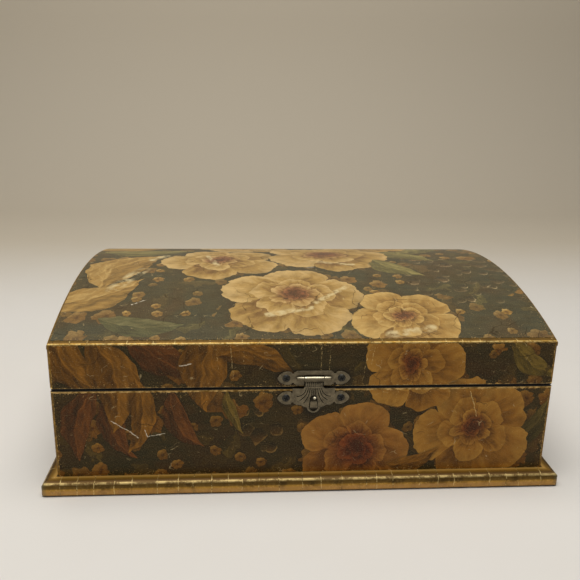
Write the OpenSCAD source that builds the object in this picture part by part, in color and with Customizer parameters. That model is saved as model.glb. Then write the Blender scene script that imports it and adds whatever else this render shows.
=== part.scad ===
/* [Case] */
// Width of the case over its wall boards, left to right
case_w = 290; // [240:1:400]
// Depth of the case over its wall boards, front to back
case_d = 220; // [160:1:300]
// Height of the case walls above the plinth
case_h = 54.5; // [40:0.5:120]
// Thickness of the wall boards of the case and the lid
board_t = 9; // [8:0.5:12]
// Gap between the case and the closed lid
seam_gap = 0.3; // [0.2:0.05:0.6]

/* [Plinth] */
// Thickness of the plinth board
plinth_t = 9; // [8:0.5:20]
// Distance that the plinth stands out past the walls
plinth_reach = 8; // [6:0.5:20]
// Radius of the plinth's upper edge
plinth_round = 4; // [1:0.1:4.5]
// Radius of the plinth's lower edge
plinth_foot_round = 2; // [0.5:0.1:3]
// Radius of the plinth's corners, seen from above
plinth_corner_r = 2.6; // [0.5:0.1:4]

/* [Lid] */
// Height of the lid's straight front above the seam
lid_side_h = 27.5; // [20:0.5:60]
// Rise of the curved top above the lid's front and back edges
lid_rise = 17.4; // [10:0.1:40]
// Thickness of the bent top panel
lid_panel_t = 3; // [2:0.5:5]
// Angle at which the rear bevels meet and stop the open lid
lid_open_angle = 100; // [90:1:110]

/* [Worn edges] */
// Radius of the upright corners
arris_r = 1.2; // [0.5:0.1:2]
// Radius of the long edges of the curved top
lid_arris_r = 1.2; // [0.5:0.1:2]
// Radius of the edges along the seam
rim_r = 0.6; // [0.3:0.1:1.2]
// Radius of the worn corners where the seam meets the upright corners
corner_r = 1.7; // [0.8:0.1:3]

/* [Printed paper] */
// Thickness of the varnished paper
paper_t = 0.2; // [0.1:0.05:0.4]
// Thickness of the glue under the paper and the panel on the curved top
glue_t = 0.1; // [0.05:0.05:0.2]
// Bare gilded strip between the paper and an upright corner
paper_margin = 1.4; // [1:0.1:4]
// Bare gilded strip between the paper and the seam
seam_margin = 0.9; // [0.6:0.1:4]
// Bare gilded strip along the long edges of the curved top
top_margin = 2.8; // [1.5:0.1:6]

/* [Lining] */
// Thickness of the felt-covered card on the floor
lining_t = 1.5; // [0.8:0.1:3]
// Gap between the card and the walls
lining_gap = 0.4; // [0.2:0.1:1]

/* [Hinges] */
// Length of each butt hinge
hinge_len = 30; // [24:1:50]
// Distance from a hinge's middle to the end of the case
hinge_inset = 50; // [30:1:90]
// Radius of the hinge pin
pin_r = 0.8; // [0.6:0.05:1]
// Outer radius of the hinge knuckles
knuckle_r = 1.7; // [1.5:0.05:1.75]
// Number of knuckles, an odd number
knuckles = 5; // [3:2:7]
// Thickness of the hinge leaves
leaf_t = 1; // [0.8:0.1:1.2]
// Distance of the hinge axis inside the back face
axis_inset = 1.9; // [1.8:0.1:2.4]
// Radius of the head of a hinge screw
hinge_screw_head_r = 1.5; // [1.3:0.1:1.6]
// Length of a hinge screw
hinge_screw_len = 8; // [6:0.5:12]

/* [Latch] */
// Place of the latch's middle, to the right of the case's middle
latch_x = 3.6; // [-60:0.2:60]
// Height of the middle of the hasp plate above the lid's lower edge
hasp_plate_rise = 6.1; // [5.6:0.1:8]
// Drop of the middle of the catch plate below the case's upper edge
catch_plate_drop = 5.9; // [5.4:0.1:8]
// Thickness of the stamped plates
plate_t = 0.8; // [0.6:0.1:1]
// Width of a plate from point to point
plate_w = 41.7; // [41:0.1:46]
// Height of the middle part of a plate
plate_h = 8.8; // [8.4:0.1:10]
// Width of the straight top and bottom edges of a plate
plate_flat_w = 19.6; // [19:0.1:21]
// Distance between a plate's two screws
screw_pitch = 31.8; // [31:0.1:34]
// Half height of the pointed lobe round each screw
lobe_h = 4; // [3.7:0.05:4.3]
// Radius of a latch screw's head
screw_head_r = 2.3; // [2:0.1:2.5]
// Height of a latch screw's head
screw_head_h = 1.1; // [0.8:0.1:1.4]
// Radius of a latch screw's shank
screw_r = 1.2; // [0.9:0.05:1.3]
// Length of a latch screw under its head
screw_len = 7.5; // [5:0.5:8]

/* [Hasp] */
// Radius of the hasp's pin
hasp_pin_r = 0.6; // [0.4:0.05:0.7]
// Outer radius of the hasp's rolled end and of the plate's knuckles
roll_r = 1.32; // [1.2:0.02:1.5]
// Width of the hasp's neck
neck_w = 10.9; // [9:0.1:12]
// Thickness of the hasp
hasp_t = 0.8; // [0.6:0.1:1]
// Drop from the pin to the fan's centre
fan_drop = 5.9; // [5.5:0.1:8]
// Radius of the fan
fan_r = 12.8; // [12.3:0.1:14]
// Width of the fan over its cut sides
fan_w = 24.4; // [20:0.1:25.4]
// Radius of the rounded tip below the fan
tip_r = 3.8; // [3.6:0.1:4.5]
// Drop from the fan's centre to the tip's centre
tip_drop = 11.7; // [11:0.1:12]
// Radius of the wide lower end of the slot
slot_low_r = 2.72; // [2.6:0.02:3]
// Radius of the narrow upper end of the slot
slot_top_r = 2.15; // [2:0.05:2.4]
// Distance between the centres of the slot's ends
slot_len = 5.3; // [4.5:0.1:5.6]

/* [Hidden] */

// Colours, as the photo shows them
gilt = "#8f7036";
olive_paper = "#5d5233";
cream_paper = "#b98f45";
dark_brass = "#5f5a50";
screw_black = "#2b2a2c";
hinge_brass = "#a5874a";
felt_green = "#3c4230";

// Roundness of small and large curves, and the overshoot of a cut
$fn = 48;
arc_fn = 720;
outline_fn = 96;
cut = 1;

// Heights of the stacked parts
case_top_z = plinth_t + case_h;
lid_z = case_top_z + seam_gap;
lid_edge_z = lid_z + lid_side_h;
lid_top_z = lid_edge_z + lid_rise;

// Half sizes of the case, outside and inside
half_w = case_w / 2;
half_d = case_d / 2;
inner_half_w = half_w - board_t;
inner_half_d = half_d - board_t;

// Circle of the curved top, seen from the side
arc_r = (half_d * half_d + lid_rise * lid_rise) / (2 * lid_rise);
arc_z = lid_top_z - arc_r;

// Lengths of the case's wall boards between their neighbours
side_board_len = case_d - 2 * board_t;
lid_rail_len = case_w - 2 * board_t;

// Hinge axis and the V groove round it
axis_y = half_d - axis_inset;
axis_z = case_top_z + seam_gap / 2;
bevel_angle = lid_open_angle / 2;
groove_h = axis_inset * tan(bevel_angle);
back_seam_margin = groove_h + seam_margin;
hinge_x = half_w - hinge_inset;
leaf_border = 0.8;
leaf_w = board_t - axis_inset - leaf_border;
leaf_screw_y = axis_y - (knuckle_r + leaf_w) / 2;
leaf_screw_share = 0.3;
leaf_screw_x = leaf_screw_share * hinge_len;
knuckle_pitch = hinge_len / knuckles;
knuckle_clear = 0.3;
pin_clear = 0.05;
pocket_clear = 0.1;
hinge_screw_r = 0.8;
hinge_cross_w = 0.45;
hinge_cross_len = 1.8;
hinge_cross_h = 0.4;
countersink_h = 0.7;
thread_clear = 0.05;
leaf_hole_r = hinge_screw_r + thread_clear;
leaf_hole_head_r = hinge_screw_head_r + thread_clear;

// Latch, in a frame whose plane stands on the case's front paper
paper_face_y = -half_d - paper_t;
plate_face_y = paper_face_y - plate_t;
roll_clear = 0.3;
pin_y = paper_face_y - roll_clear - roll_r;
hasp_plate_z = lid_z + hasp_plate_rise;
catch_plate_z = case_top_z - catch_plate_drop;
pin_rise = 0.3;
pin_z = hasp_plate_z + pin_rise;
plate_cut_w = 2.3;
plate_cut_h = 1.65;
plate_cheek_w = plate_flat_w + 2 * plate_cut_w;
plate_cheek_h = plate_h - 2 * plate_cut_h;
lobe_crown_x = 0.9;
lobe_arc_run = (plate_w - screw_pitch) / 2 + lobe_crown_x;
lobe_arc_r = (lobe_arc_run * lobe_arc_run + lobe_h * lobe_h) / (2 * lobe_h);
notch_r = 0.9;
notch_rise = 0.8;
notch_z = plate_cheek_h / 2 + notch_rise;
window_clear = 0.35;
window_half_w = neck_w / 2 + window_clear;
window_top = roll_r + roll_clear;
plate_knuckle_len = 3.3;
knuckle_end = window_half_w + plate_knuckle_len;
pin_proud = 0.1;
hasp_pin_len = 2 * (knuckle_end + pin_proud);
screw_turn = 20;
screw_clear = 0.1;
screw_hole_r = screw_r + screw_clear;
shank_lap = screw_head_h / 3;
cross_w = 0.7;
cross_len = 2.6;
cross_h = 0.6;

// Hasp
fan_z = pin_z - fan_drop;
shoulder_drop = 0.4;
shoulder_z = fan_z - shoulder_drop;
tip_z = fan_z - tip_drop;
slot_tip_drop = 0.25;
slot_low_z = tip_z - slot_tip_drop;
slot_top_z = slot_low_z + slot_len;
neck_fillet = 0.8;
flute_margin = 1.6;
flute_reach = fan_r - flute_margin;
flute_angle = 15.6;
flutes_across_neck = 9.75;
flute_pitch = neck_w / flutes_across_neck;
flute_w = 0.56;
flute_depth = 0.3;
bead_w = 0.6;
bead_h = 0.22;
bead_len = 1.9;
bead_rise = 1.05;
bead_z = fan_z + bead_rise;
bead_r = 0.3;
bead_row_gap = 0.5;
bead_row_z = bead_z + bead_len + bead_row_gap;
ridge_h = 0.5;

// Catch tongue, a stamped bill that is open underneath
bill_clear = 0.5;
bill_root_drop = 0.9;
bill_root_z = slot_top_z + slot_top_r - bill_root_drop;
bill_foot_drop = 0.65;
bill_low_z = slot_low_z - bill_foot_drop;
bill_out = 2.6;
bill_brow_out = 1.9;
bill_brow_r = 0.9;
bill_brow_y = bill_brow_r - bill_brow_out;
bill_brow_z = bill_root_z - bill_brow_r;
bill_brow_turn = 170;
bill_wall = 0.75;
bill_pocket_h = 3.4;

// Flat helper shapes

// Points along a round corner, counted from start angle to end angle
function arc_points(x, y, r, from, to, steps = 8) =
    [for (i = [0 : steps]) let (a = from + (to - from) * i / steps) [x + r * cos(a), y + r * sin(a)]];

// Rectangle from [0, 0] with its own radius at each corner: lower left, lower right, upper right, upper left
module soft_rect(w, h, r) {
    polygon(concat(
        arc_points(r[0], r[0], r[0], 180, 270),
        arc_points(w - r[1], r[1], r[1], 270, 360),
        arc_points(w - r[2], h - r[2], r[2], 0, 90),
        arc_points(r[3], h - r[3], r[3], 90, 180)
    ));
}

// Stands a profile drawn in Y and Z up and stretches it along X
module along_x(w) {
    rotate([90, 0, 90])
        translate([0, 0, -w / 2])
            linear_extrude(w)
                children();
}

// Stands a profile drawn in X and Z up and stretches it along Y
module along_y(d) {
    rotate([90, 0, 0])
        translate([0, 0, -d / 2])
            linear_extrude(d)
                children();
}

// Both hands of a piece that is drawn on the left
module left_and_right() {
    children();
    mirror([1, 0, 0]) children();
}

// Hinges

// Wedge between the two rear bevels, open to the back
module rear_groove() {
    reach = axis_inset + cut;
    spread = reach * tan(bevel_angle);
    along_x(case_w + 2 * cut)
        polygon([
            [axis_y, axis_z + seam_gap / 2],
            [axis_y, axis_z - seam_gap / 2],
            [axis_y + reach, axis_z - seam_gap / 2 - spread],
            [axis_y + reach, axis_z + seam_gap / 2 + spread]
        ]);
}

// A round bar on the hinge axis of the hinge at x, from and to measured from the hinge's middle
module on_axis(x, from, to, r) {
    translate([x + from, axis_y, axis_z])
        rotate([0, 90, 0])
            cylinder(h = to - from, r = r);
}

// Knuckles first, first + 2 and so on of the hinge at x
module knuckle_row(x, first, r, gap) {
    for (i = [first : 2 : knuckles - 1]) {
        from = -hinge_len / 2 + i * knuckle_pitch;
        on_axis(x, from + gap / 2, from + knuckle_pitch - gap / 2, r);
    }
}

// Places a screw at each hole of the leaf at x
module at_leaf_screws(x) {
    for (side = [-1, 1])
        translate([x + side * leaf_screw_x, leaf_screw_y, 0])
            children();
}

// Countersunk hole or head, its flat face at z = 0 and its point downwards
module countersunk(head_r, shank_r, len) {
    translate([0, 0, -countersink_h]) cylinder(h = countersink_h, r1 = shank_r, r2 = head_r);
    translate([0, 0, -len]) cylinder(h = len - countersink_h + thread_clear, r = shank_r);
}

// One leaf of the hinge at x: up is 1 for the lid's leaf and -1 for the case's
module hinge_leaf(x, up) {
    leaf_face = axis_z + up * seam_gap / 2;
    first = up > 0 ? 1 : 0;
    difference() {
        union() {
            translate([x - hinge_len / 2, axis_y - leaf_w, up > 0 ? leaf_face : leaf_face - leaf_t])
                cube([hinge_len, leaf_w, leaf_t]);
            knuckle_row(x, first, knuckle_r, knuckle_clear);
        }
        knuckle_row(x, 1 - first, knuckle_r + knuckle_clear, -knuckle_clear);
        on_axis(x, -hinge_len / 2 - cut, hinge_len / 2 + cut, pin_r + pin_clear);
        at_leaf_screws(x)
            translate([0, 0, leaf_face])
                mirror([0, 0, up > 0 ? 1 : 0])
                    countersunk(leaf_hole_head_r, leaf_hole_r, leaf_t + cut);
    }
}

// Wood that is cut away for the hinge at x, its pins and its screws
module hinge_pocket(x, up) {
    leaf_face = axis_z + up * seam_gap / 2;
    pocket_len = hinge_len + 2 * pocket_clear;
    pocket_z = up > 0 ? leaf_face - cut : leaf_face - leaf_t;
    translate([x - pocket_len / 2, axis_y - leaf_w - pocket_clear, pocket_z])
        cube([pocket_len, leaf_w + pocket_clear, leaf_t + cut]);
    on_axis(x, -pocket_len / 2, pocket_len / 2, knuckle_r + knuckle_clear);
    at_leaf_screws(x)
        translate([0, 0, leaf_face])
            mirror([0, 0, up > 0 ? 1 : 0])
                translate([0, 0, -hinge_screw_len - thread_clear])
                    cylinder(h = hinge_screw_len, r = leaf_hole_r);
}

// The two screws of the leaf at x
module leaf_screws(x, up) {
    at_leaf_screws(x)
        translate([0, 0, axis_z + up * seam_gap / 2])
            mirror([0, 0, up > 0 ? 1 : 0])
                difference() {
                    countersunk(hinge_screw_head_r, hinge_screw_r, hinge_screw_len);
                    cross_recess(hinge_cross_w, hinge_cross_len, hinge_cross_h);
                }
}

// Cross-shaped recess, cut down from z = 0
module cross_recess(w, len, h) {
    for (turn = [0, 90])
        rotate(turn)
            translate([-len / 2, -w / 2, -h])
                cube([len, w, h + cut]);
}

// Plinth and case

module plinth_board() {
    w = case_w + 2 * plinth_reach;
    d = case_d + 2 * plinth_reach;
    edge = [plinth_foot_round, plinth_foot_round, plinth_round, plinth_round];
    color(gilt)
        intersection() {
            translate([-w / 2, -d / 2, 0])
                linear_extrude(plinth_t)
                    soft_rect(w, d, [for (i = [0 : 3]) plinth_corner_r]);
            along_y(d + 2 * cut)
                translate([-w / 2, 0]) soft_rect(w, plinth_t, edge);
            along_x(w + 2 * cut)
                translate([-d / 2, 0]) soft_rect(d, plinth_t, edge);
        }
}

// Long wall board at the front: its corners and its upper edge are worn round
module long_case_board() {
    intersection() {
        translate([-half_w, -half_d, plinth_t])
            linear_extrude(case_h)
                soft_rect(case_w, board_t, [arris_r, arris_r, 0, 0]);
        along_y(case_d + 2 * cut)
            translate([-half_w, plinth_t])
                soft_rect(case_w, case_h, [0, 0, corner_r, corner_r]);
        along_x(case_w + 2 * cut)
            translate([-half_d, plinth_t])
                soft_rect(board_t, case_h, [0, 0, 0, rim_r]);
    }
}

module case_front() {
    color(gilt)
        difference() {
            long_case_board();
            latch_screw_holes(catch_plate_z);
        }
}

module case_back() {
    color(gilt)
        difference() {
            mirror([0, 1, 0]) long_case_board();
            rear_groove();
            for (x = [-hinge_x, hinge_x]) hinge_pocket(x, -1);
        }
}

// Short wall board at the left, between the long ones
module short_case_board() {
    along_y(side_board_len)
        translate([-half_w, plinth_t])
            soft_rect(board_t, case_h, [0, 0, 0, rim_r]);
}

module case_left() {
    color(gilt) short_case_board();
}

module case_right() {
    color(gilt) mirror([1, 0, 0]) short_case_board();
}

module floor_lining() {
    color(felt_green)
        translate([-inner_half_w + lining_gap, -inner_half_d + lining_gap, plinth_t])
            cube([2 * (inner_half_w - lining_gap), 2 * (inner_half_d - lining_gap), lining_t]);
}

// Printed papers

// Paper on the front, from low to high; the back is its mirror image
module long_paper(low, high) {
    translate([-half_w + paper_margin, paper_face_y, low])
        cube([case_w - 2 * paper_margin, paper_t, high - low]);
}

module case_front_print() {
    color(olive_paper)
        difference() {
            long_paper(plinth_t, case_top_z - seam_margin);
            latch_screw_holes(catch_plate_z);
        }
}

module case_back_print() {
    color(olive_paper)
        mirror([0, 1, 0])
            long_paper(plinth_t, case_top_z - back_seam_margin);
}

module short_case_paper() {
    translate([-half_w - paper_t, -half_d + paper_margin, plinth_t])
        cube([paper_t, case_d - 2 * paper_margin, case_h - seam_margin]);
}

module case_left_print() {
    color(olive_paper) short_case_paper();
}

module case_right_print() {
    color(olive_paper) mirror([1, 0, 0]) short_case_paper();
}

module lid_front_print() {
    color(olive_paper)
        difference() {
            long_paper(lid_z + seam_margin, lid_edge_z - seam_margin);
            latch_screw_holes(hasp_plate_z);
        }
}

module lid_back_print() {
    color(olive_paper)
        mirror([0, 1, 0])
            long_paper(lid_z + back_seam_margin, lid_edge_z - seam_margin);
}

// Paper on the D-shaped end, its margin drawn in along the curve too
module end_paper() {
    translate([-half_w - paper_t / 2, 0, 0])
        along_x(paper_t)
            intersection() {
                translate([0, arc_z]) circle(arc_r - paper_margin, $fn = arc_fn);
                translate([-half_d + paper_margin, lid_z + seam_margin])
                    square([case_d - 2 * paper_margin, lid_side_h + lid_rise]);
            }
}

module lid_left_print() {
    color(olive_paper) end_paper();
}

module lid_right_print() {
    color(olive_paper) mirror([1, 0, 0]) end_paper();
}

module lid_top_print() {
    top_half_d = half_d - top_margin * cos(asin(half_d / arc_r));
    color(cream_paper)
        along_x(case_w - 2 * paper_margin)
            intersection() {
                translate([0, arc_z])
                    difference() {
                        circle(arc_r + glue_t + paper_t, $fn = arc_fn);
                        circle(arc_r + glue_t, $fn = arc_fn);
                    }
                translate([-top_half_d, lid_z])
                    square([2 * top_half_d, lid_side_h + 2 * lid_rise]);
            }
}

// Lid

// Side view of what lies under the bent panel
module under_panel() {
    intersection() {
        translate([0, arc_z]) circle(arc_r - lid_panel_t - glue_t, $fn = arc_fn);
        children();
    }
}

// Rail behind the lid's front face
module lid_rail() {
    along_x(lid_rail_len)
        under_panel()
            translate([-half_d, lid_z])
                soft_rect(board_t, lid_side_h + lid_rise, [rim_r, 0, 0, 0]);
}

module lid_front_rail() {
    color(gilt)
        difference() {
            lid_rail();
            latch_screw_holes(hasp_plate_z);
        }
}

module lid_back_rail() {
    color(gilt)
        difference() {
            mirror([0, 1, 0]) lid_rail();
            rear_groove();
            for (x = [-hinge_x, hinge_x]) hinge_pocket(x, 1);
        }
}

// D-shaped end board at the left
module lid_end() {
    end_h = lid_side_h + lid_rise;
    difference() {
        intersection() {
            translate([-half_w + board_t / 2, 0, 0])
                along_x(board_t)
                    under_panel()
                        translate([-half_d, lid_z])
                            soft_rect(case_d, end_h, [rim_r, rim_r, 0, 0]);
            translate([-half_w, -half_d, lid_z])
                linear_extrude(end_h)
                    soft_rect(board_t + cut, case_d, [arris_r, 0, 0, arris_r]);
            along_y(case_d + 2 * cut)
                translate([-half_w, lid_z])
                    soft_rect(board_t + cut, end_h, [corner_r, 0, 0, 0]);
        }
        rear_groove();
    }
}

module lid_left_end() {
    color(gilt) lid_end();
}

module lid_right_end() {
    color(gilt) mirror([1, 0, 0]) lid_end();
}

// Bent panel: a ring turned about the arc's axis, trimmed to the lid's depth
module lid_top_panel() {
    far = lid_rise + lid_panel_t;
    r = lid_arris_r;
    // Centre of the round that blends the front face into the curve
    blend_y = -half_d + r;
    blend_z = arc_z + sqrt((arc_r - r) * (arc_r - r) - blend_y * blend_y);
    blend_slope = asin(-blend_y / (arc_r - r));
    color(gilt)
        intersection() {
            translate([0, 0, arc_z])
                rotate([0, 90, 0])
                    rotate_extrude($fn = arc_fn)
                        translate([arc_r - lid_panel_t, -half_w])
                            soft_rect(lid_panel_t, case_w, [0, arris_r, arris_r, 0]);
            along_x(case_w + 2 * cut)
                polygon(concat(
                    [[-half_d, lid_edge_z - far]],
                    arc_points(blend_y, blend_z, r, 180, 90 + blend_slope),
                    [[blend_y, lid_top_z + far], [-blend_y, lid_top_z + far]],
                    arc_points(-blend_y, blend_z, r, 90 - blend_slope, 0),
                    [[half_d, lid_edge_z - far]]
                ));
        }
}

// Latch

// Holes for the two screws of the plate whose middle is at height z
module latch_screw_holes(z) {
    for (side = [-1, 1])
        translate([latch_x + side * screw_pitch / 2, plate_face_y - cut, z])
            rotate([-90, 0, 0])
                cylinder(h = cut + screw_len + thread_clear, r = screw_hole_r);
}

// Leaf-shaped lobe round the left screw: two arcs that meet in a point
module plate_lobe() {
    intersection() {
        translate([-screw_pitch / 2 + lobe_crown_x, lobe_h - lobe_arc_r])
            circle(lobe_arc_r, $fn = outline_fn);
        translate([-screw_pitch / 2 + lobe_crown_x, lobe_arc_r - lobe_h])
            circle(lobe_arc_r, $fn = outline_fn);
        translate([-plate_w / 2 - cut, -lobe_h])
            square([plate_w / 2 + 2 * cut - plate_cheek_w / 2, 2 * lobe_h]);
    }
}

// Outline of a plate, its middle at [0, 0]: a bar with a lobe at each end and a notch at each join
module plate_outline() {
    difference() {
        union() {
            polygon([
                [-plate_flat_w / 2, plate_h / 2], [plate_flat_w / 2, plate_h / 2],
                [plate_cheek_w / 2, plate_cheek_h / 2], [plate_cheek_w / 2, -plate_cheek_h / 2],
                [plate_flat_w / 2, -plate_h / 2], [-plate_flat_w / 2, -plate_h / 2],
                [-plate_cheek_w / 2, -plate_cheek_h / 2], [-plate_cheek_w / 2, plate_cheek_h / 2]
            ]);
            left_and_right() plate_lobe();
        }
        for (side = [-1, 1])
            for (up = [-1, 1])
                translate([side * plate_cheek_w / 2, up * notch_z])
                    circle(notch_r);
    }
}

// Sheet of thickness t whose back lies at y and whose drawn origin is at height z
module latch_sheet(y, z, t) {
    translate([latch_x, y - t / 2, z])
        along_y(t)
            children();
}

module hasp_plate() {
    color(dark_brass)
        difference() {
            union() {
                difference() {
                    latch_sheet(paper_face_y, hasp_plate_z, plate_t)
                        plate_outline();
                    translate([latch_x - window_half_w, plate_face_y - cut, hasp_plate_z - plate_h])
                        cube([2 * window_half_w, plate_t + 2 * cut, plate_h + pin_rise + window_top]);
                }
                translate([latch_x, pin_y, pin_z])
                    left_and_right() {
                        translate([window_half_w, 0, 0])
                            rotate([0, 90, 0])
                                cylinder(h = knuckle_end - window_half_w, r = roll_r);
                        translate([knuckle_end, 0, 0])
                            sphere(roll_r);
                    }
            }
            translate([latch_x - hasp_pin_len / 2 - pin_clear, pin_y, pin_z])
                rotate([0, 90, 0])
                    cylinder(h = hasp_pin_len + 2 * pin_clear, r = hasp_pin_r + pin_clear);
            latch_screw_holes(hasp_plate_z);
        }
}

module hasp_pin() {
    color(dark_brass)
        translate([latch_x - hasp_pin_len / 2, pin_y, pin_z])
            rotate([0, 90, 0])
                cylinder(h = hasp_pin_len, r = hasp_pin_r);
}

// Pear shape of the slot, drawn smaller by inset for the tongue inside it
module pear(inset) {
    low_r = slot_low_r - inset;
    top_r = slot_top_r - inset;
    lean = asin((slot_low_r - slot_top_r) / slot_len);
    translate([0, slot_low_z]) circle(low_r);
    translate([0, slot_top_z]) circle(top_r);
    polygon([
        [-low_r * cos(lean), slot_low_z + low_r * sin(lean)],
        [low_r * cos(lean), slot_low_z + low_r * sin(lean)],
        [top_r * cos(lean), slot_top_z + top_r * sin(lean)],
        [-top_r * cos(lean), slot_top_z + top_r * sin(lean)]
    ]);
}

// The tongue: the slot's pear shape, cut to the bill's side view and hollow from below
module catch_tongue() {
    difference() {
        intersection() {
            latch_sheet(paper_face_y - plate_t / 2, 0, bill_out + plate_t)
                pear(bill_clear);
            translate([latch_x, 0, 0])
                along_x(2 * slot_low_r)
                    translate([plate_face_y, 0])
                        polygon(concat(
                            [[plate_t / 2, bill_low_z], [plate_t / 2, bill_root_z], [0, bill_root_z]],
                            arc_points(bill_brow_y, bill_brow_z, bill_brow_r, 90, bill_brow_turn),
                            [[-bill_out, bill_low_z]]
                        ));
        }
        translate([latch_x - slot_low_r / 2, plate_face_y - bill_out + bill_wall, bill_low_z - cut])
            cube([slot_low_r, bill_out - bill_wall, bill_pocket_h + cut]);
    }
}

module catch_plate() {
    color(dark_brass)
        difference() {
            union() {
                latch_sheet(paper_face_y, catch_plate_z, plate_t)
                    plate_outline();
                catch_tongue();
            }
            latch_screw_holes(catch_plate_z);
        }
}

// One flute of the fan: it leaves the neck straight down and bends out to its place on the rim
module flute(k) {
    start_x = k * flute_pitch;
    end_x = flute_reach * sin(k * flute_angle);
    end_z = -flute_reach * cos(k * flute_angle);
    bend_r = (pow(end_x - start_x, 2) + end_z * end_z) / (2 * (end_x - start_x));
    turn = atan2(-end_z, abs(bend_r) - abs(end_x - start_x));
    far = 2 * abs(bend_r);
    translate([start_x + bend_r, 0])
        intersection() {
            difference() {
                circle(abs(bend_r) + flute_w / 2, $fn = outline_fn);
                circle(abs(bend_r) - flute_w / 2, $fn = outline_fn);
            }
            rotate(k > 0 ? 180 : -turn)
                polygon([[0, 0], [far, 0], [far, far * sin(turn)], [far * cos(turn), far * sin(turn)]]);
        }
}

module hasp_outline() {
    difference() {
        union() {
            translate([-neck_w / 2, fan_z - cut]) square([neck_w, fan_drop + cut]);
            intersection() {
                translate([0, fan_z]) circle(fan_r, $fn = outline_fn);
                translate([-fan_w / 2, fan_z - fan_r]) square([fan_w, fan_r + shoulder_z - fan_z]);
            }
            translate([0, tip_z]) circle(tip_r);
            // Fillets between the neck and the shoulders
            left_and_right()
                difference() {
                    translate([neck_w / 2 - cut, shoulder_z - cut])
                        square([neck_fillet + cut, neck_fillet + cut]);
                    translate([neck_w / 2 + neck_fillet, shoulder_z + neck_fillet])
                        circle(neck_fillet);
                }
        }
        pear(0);
    }
}

module hasp() {
    hasp_face_y = pin_y - hasp_t / 2;
    color(dark_brass)
        difference() {
            union() {
                latch_sheet(pin_y + hasp_t / 2, 0, hasp_t) hasp_outline();
                translate([latch_x - neck_w / 2, pin_y, pin_z])
                    rotate([0, 90, 0])
                        cylinder(h = neck_w, r = roll_r);
                // Beaded band across the neck and the ridge under it
                for (k = [-4 : 4])
                    translate([latch_x + k * flute_pitch, hasp_face_y, 0]) {
                        translate([-bead_w / 2, -bead_h, bead_z])
                            cube([bead_w, bead_h + hasp_t / 2, bead_len]);
                        translate([0, 0, bead_row_z])
                            sphere(bead_r);
                    }
                translate([latch_x - neck_w / 2, hasp_face_y - bead_h, fan_z + ridge_h / 2])
                    cube([neck_w, bead_h + hasp_t / 2, ridge_h]);
            }
            translate([latch_x - neck_w / 2 - cut, pin_y, pin_z])
                rotate([0, 90, 0])
                    cylinder(h = neck_w + 2 * cut, r = hasp_pin_r + pin_clear);
            latch_sheet(hasp_face_y + flute_depth, fan_z, flute_depth + cut)
                for (k = [2 : 4]) {
                    flute(k);
                    flute(-k);
                }
            // Straight flutes above the slot
            for (k = [-1 : 1])
                translate([latch_x + k * flute_pitch - flute_w / 2, hasp_face_y - cut, slot_top_z])
                    cube([flute_w, flute_depth + cut, fan_z - slot_top_z]);
        }
}

// Domed screw with a cross recess, driven in along +Y through the plate at height z
module latch_screws(z) {
    dome_r = (screw_head_r * screw_head_r + screw_head_h * screw_head_h) / (2 * screw_head_h);
    for (side = [-1, 1])
        translate([latch_x + side * screw_pitch / 2, plate_face_y, z])
            rotate([90, 0, 0])
                difference() {
                    union() {
                        intersection() {
                            translate([0, 0, screw_head_h - dome_r]) sphere(dome_r);
                            cylinder(h = screw_head_h + cut, r = screw_head_r + cut);
                        }
                        translate([0, 0, -screw_len]) cylinder(h = screw_len + shank_lap, r = screw_r);
                    }
                    translate([0, 0, screw_head_h])
                        rotate(side * screw_turn)
                            cross_recess(cross_w, cross_len, cross_h);
                }
}

module catch_plate_screws() {
    color(screw_black) latch_screws(catch_plate_z);
}

module hasp_plate_screws() {
    color(screw_black) latch_screws(hasp_plate_z);
}

// Hinge pieces by side

module left_hinge_case_leaf() {
    color(hinge_brass) hinge_leaf(-hinge_x, -1);
}

module right_hinge_case_leaf() {
    color(hinge_brass) hinge_leaf(hinge_x, -1);
}

module left_hinge_lid_leaf() {
    color(hinge_brass) hinge_leaf(-hinge_x, 1);
}

module right_hinge_lid_leaf() {
    color(hinge_brass) hinge_leaf(hinge_x, 1);
}

module left_hinge_pin() {
    color(hinge_brass) on_axis(-hinge_x, -hinge_len / 2, hinge_len / 2, pin_r);
}

module right_hinge_pin() {
    color(hinge_brass) on_axis(hinge_x, -hinge_len / 2, hinge_len / 2, pin_r);
}

module case_hinge_screws() {
    color(hinge_brass)
        for (x = [-hinge_x, hinge_x]) leaf_screws(x, -1);
}

module lid_hinge_screws() {
    color(hinge_brass)
        for (x = [-hinge_x, hinge_x]) leaf_screws(x, 1);
}

plinth_board();
case_front();
case_back();
case_left();
case_right();
case_front_print();
case_back_print();
case_left_print();
case_right_print();
floor_lining();
catch_plate();
catch_plate_screws();
left_hinge_case_leaf();
right_hinge_case_leaf();
left_hinge_pin();
right_hinge_pin();
case_hinge_screws();
lid_front_rail();
lid_back_rail();
lid_left_end();
lid_right_end();
lid_top_panel();
lid_front_print();
lid_back_print();
lid_left_print();
lid_right_print();
lid_top_print();
left_hinge_lid_leaf();
right_hinge_lid_leaf();
lid_hinge_screws();
hasp_plate();
hasp_plate_screws();
hasp_pin();
hasp();
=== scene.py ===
"""Looks of the small domed keepsake trunk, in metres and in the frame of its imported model.

The trunk is a keepsake box of board covered with printed paper, with gilded edges, a gilded plinth and a small latch.
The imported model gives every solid. This script dresses each of them, and models the felt card on the floor itself.
"""

import logging
import math
from dataclasses import dataclass, field
from enum import Enum

import bpy
from mathutils import Matrix, Vector


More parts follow.
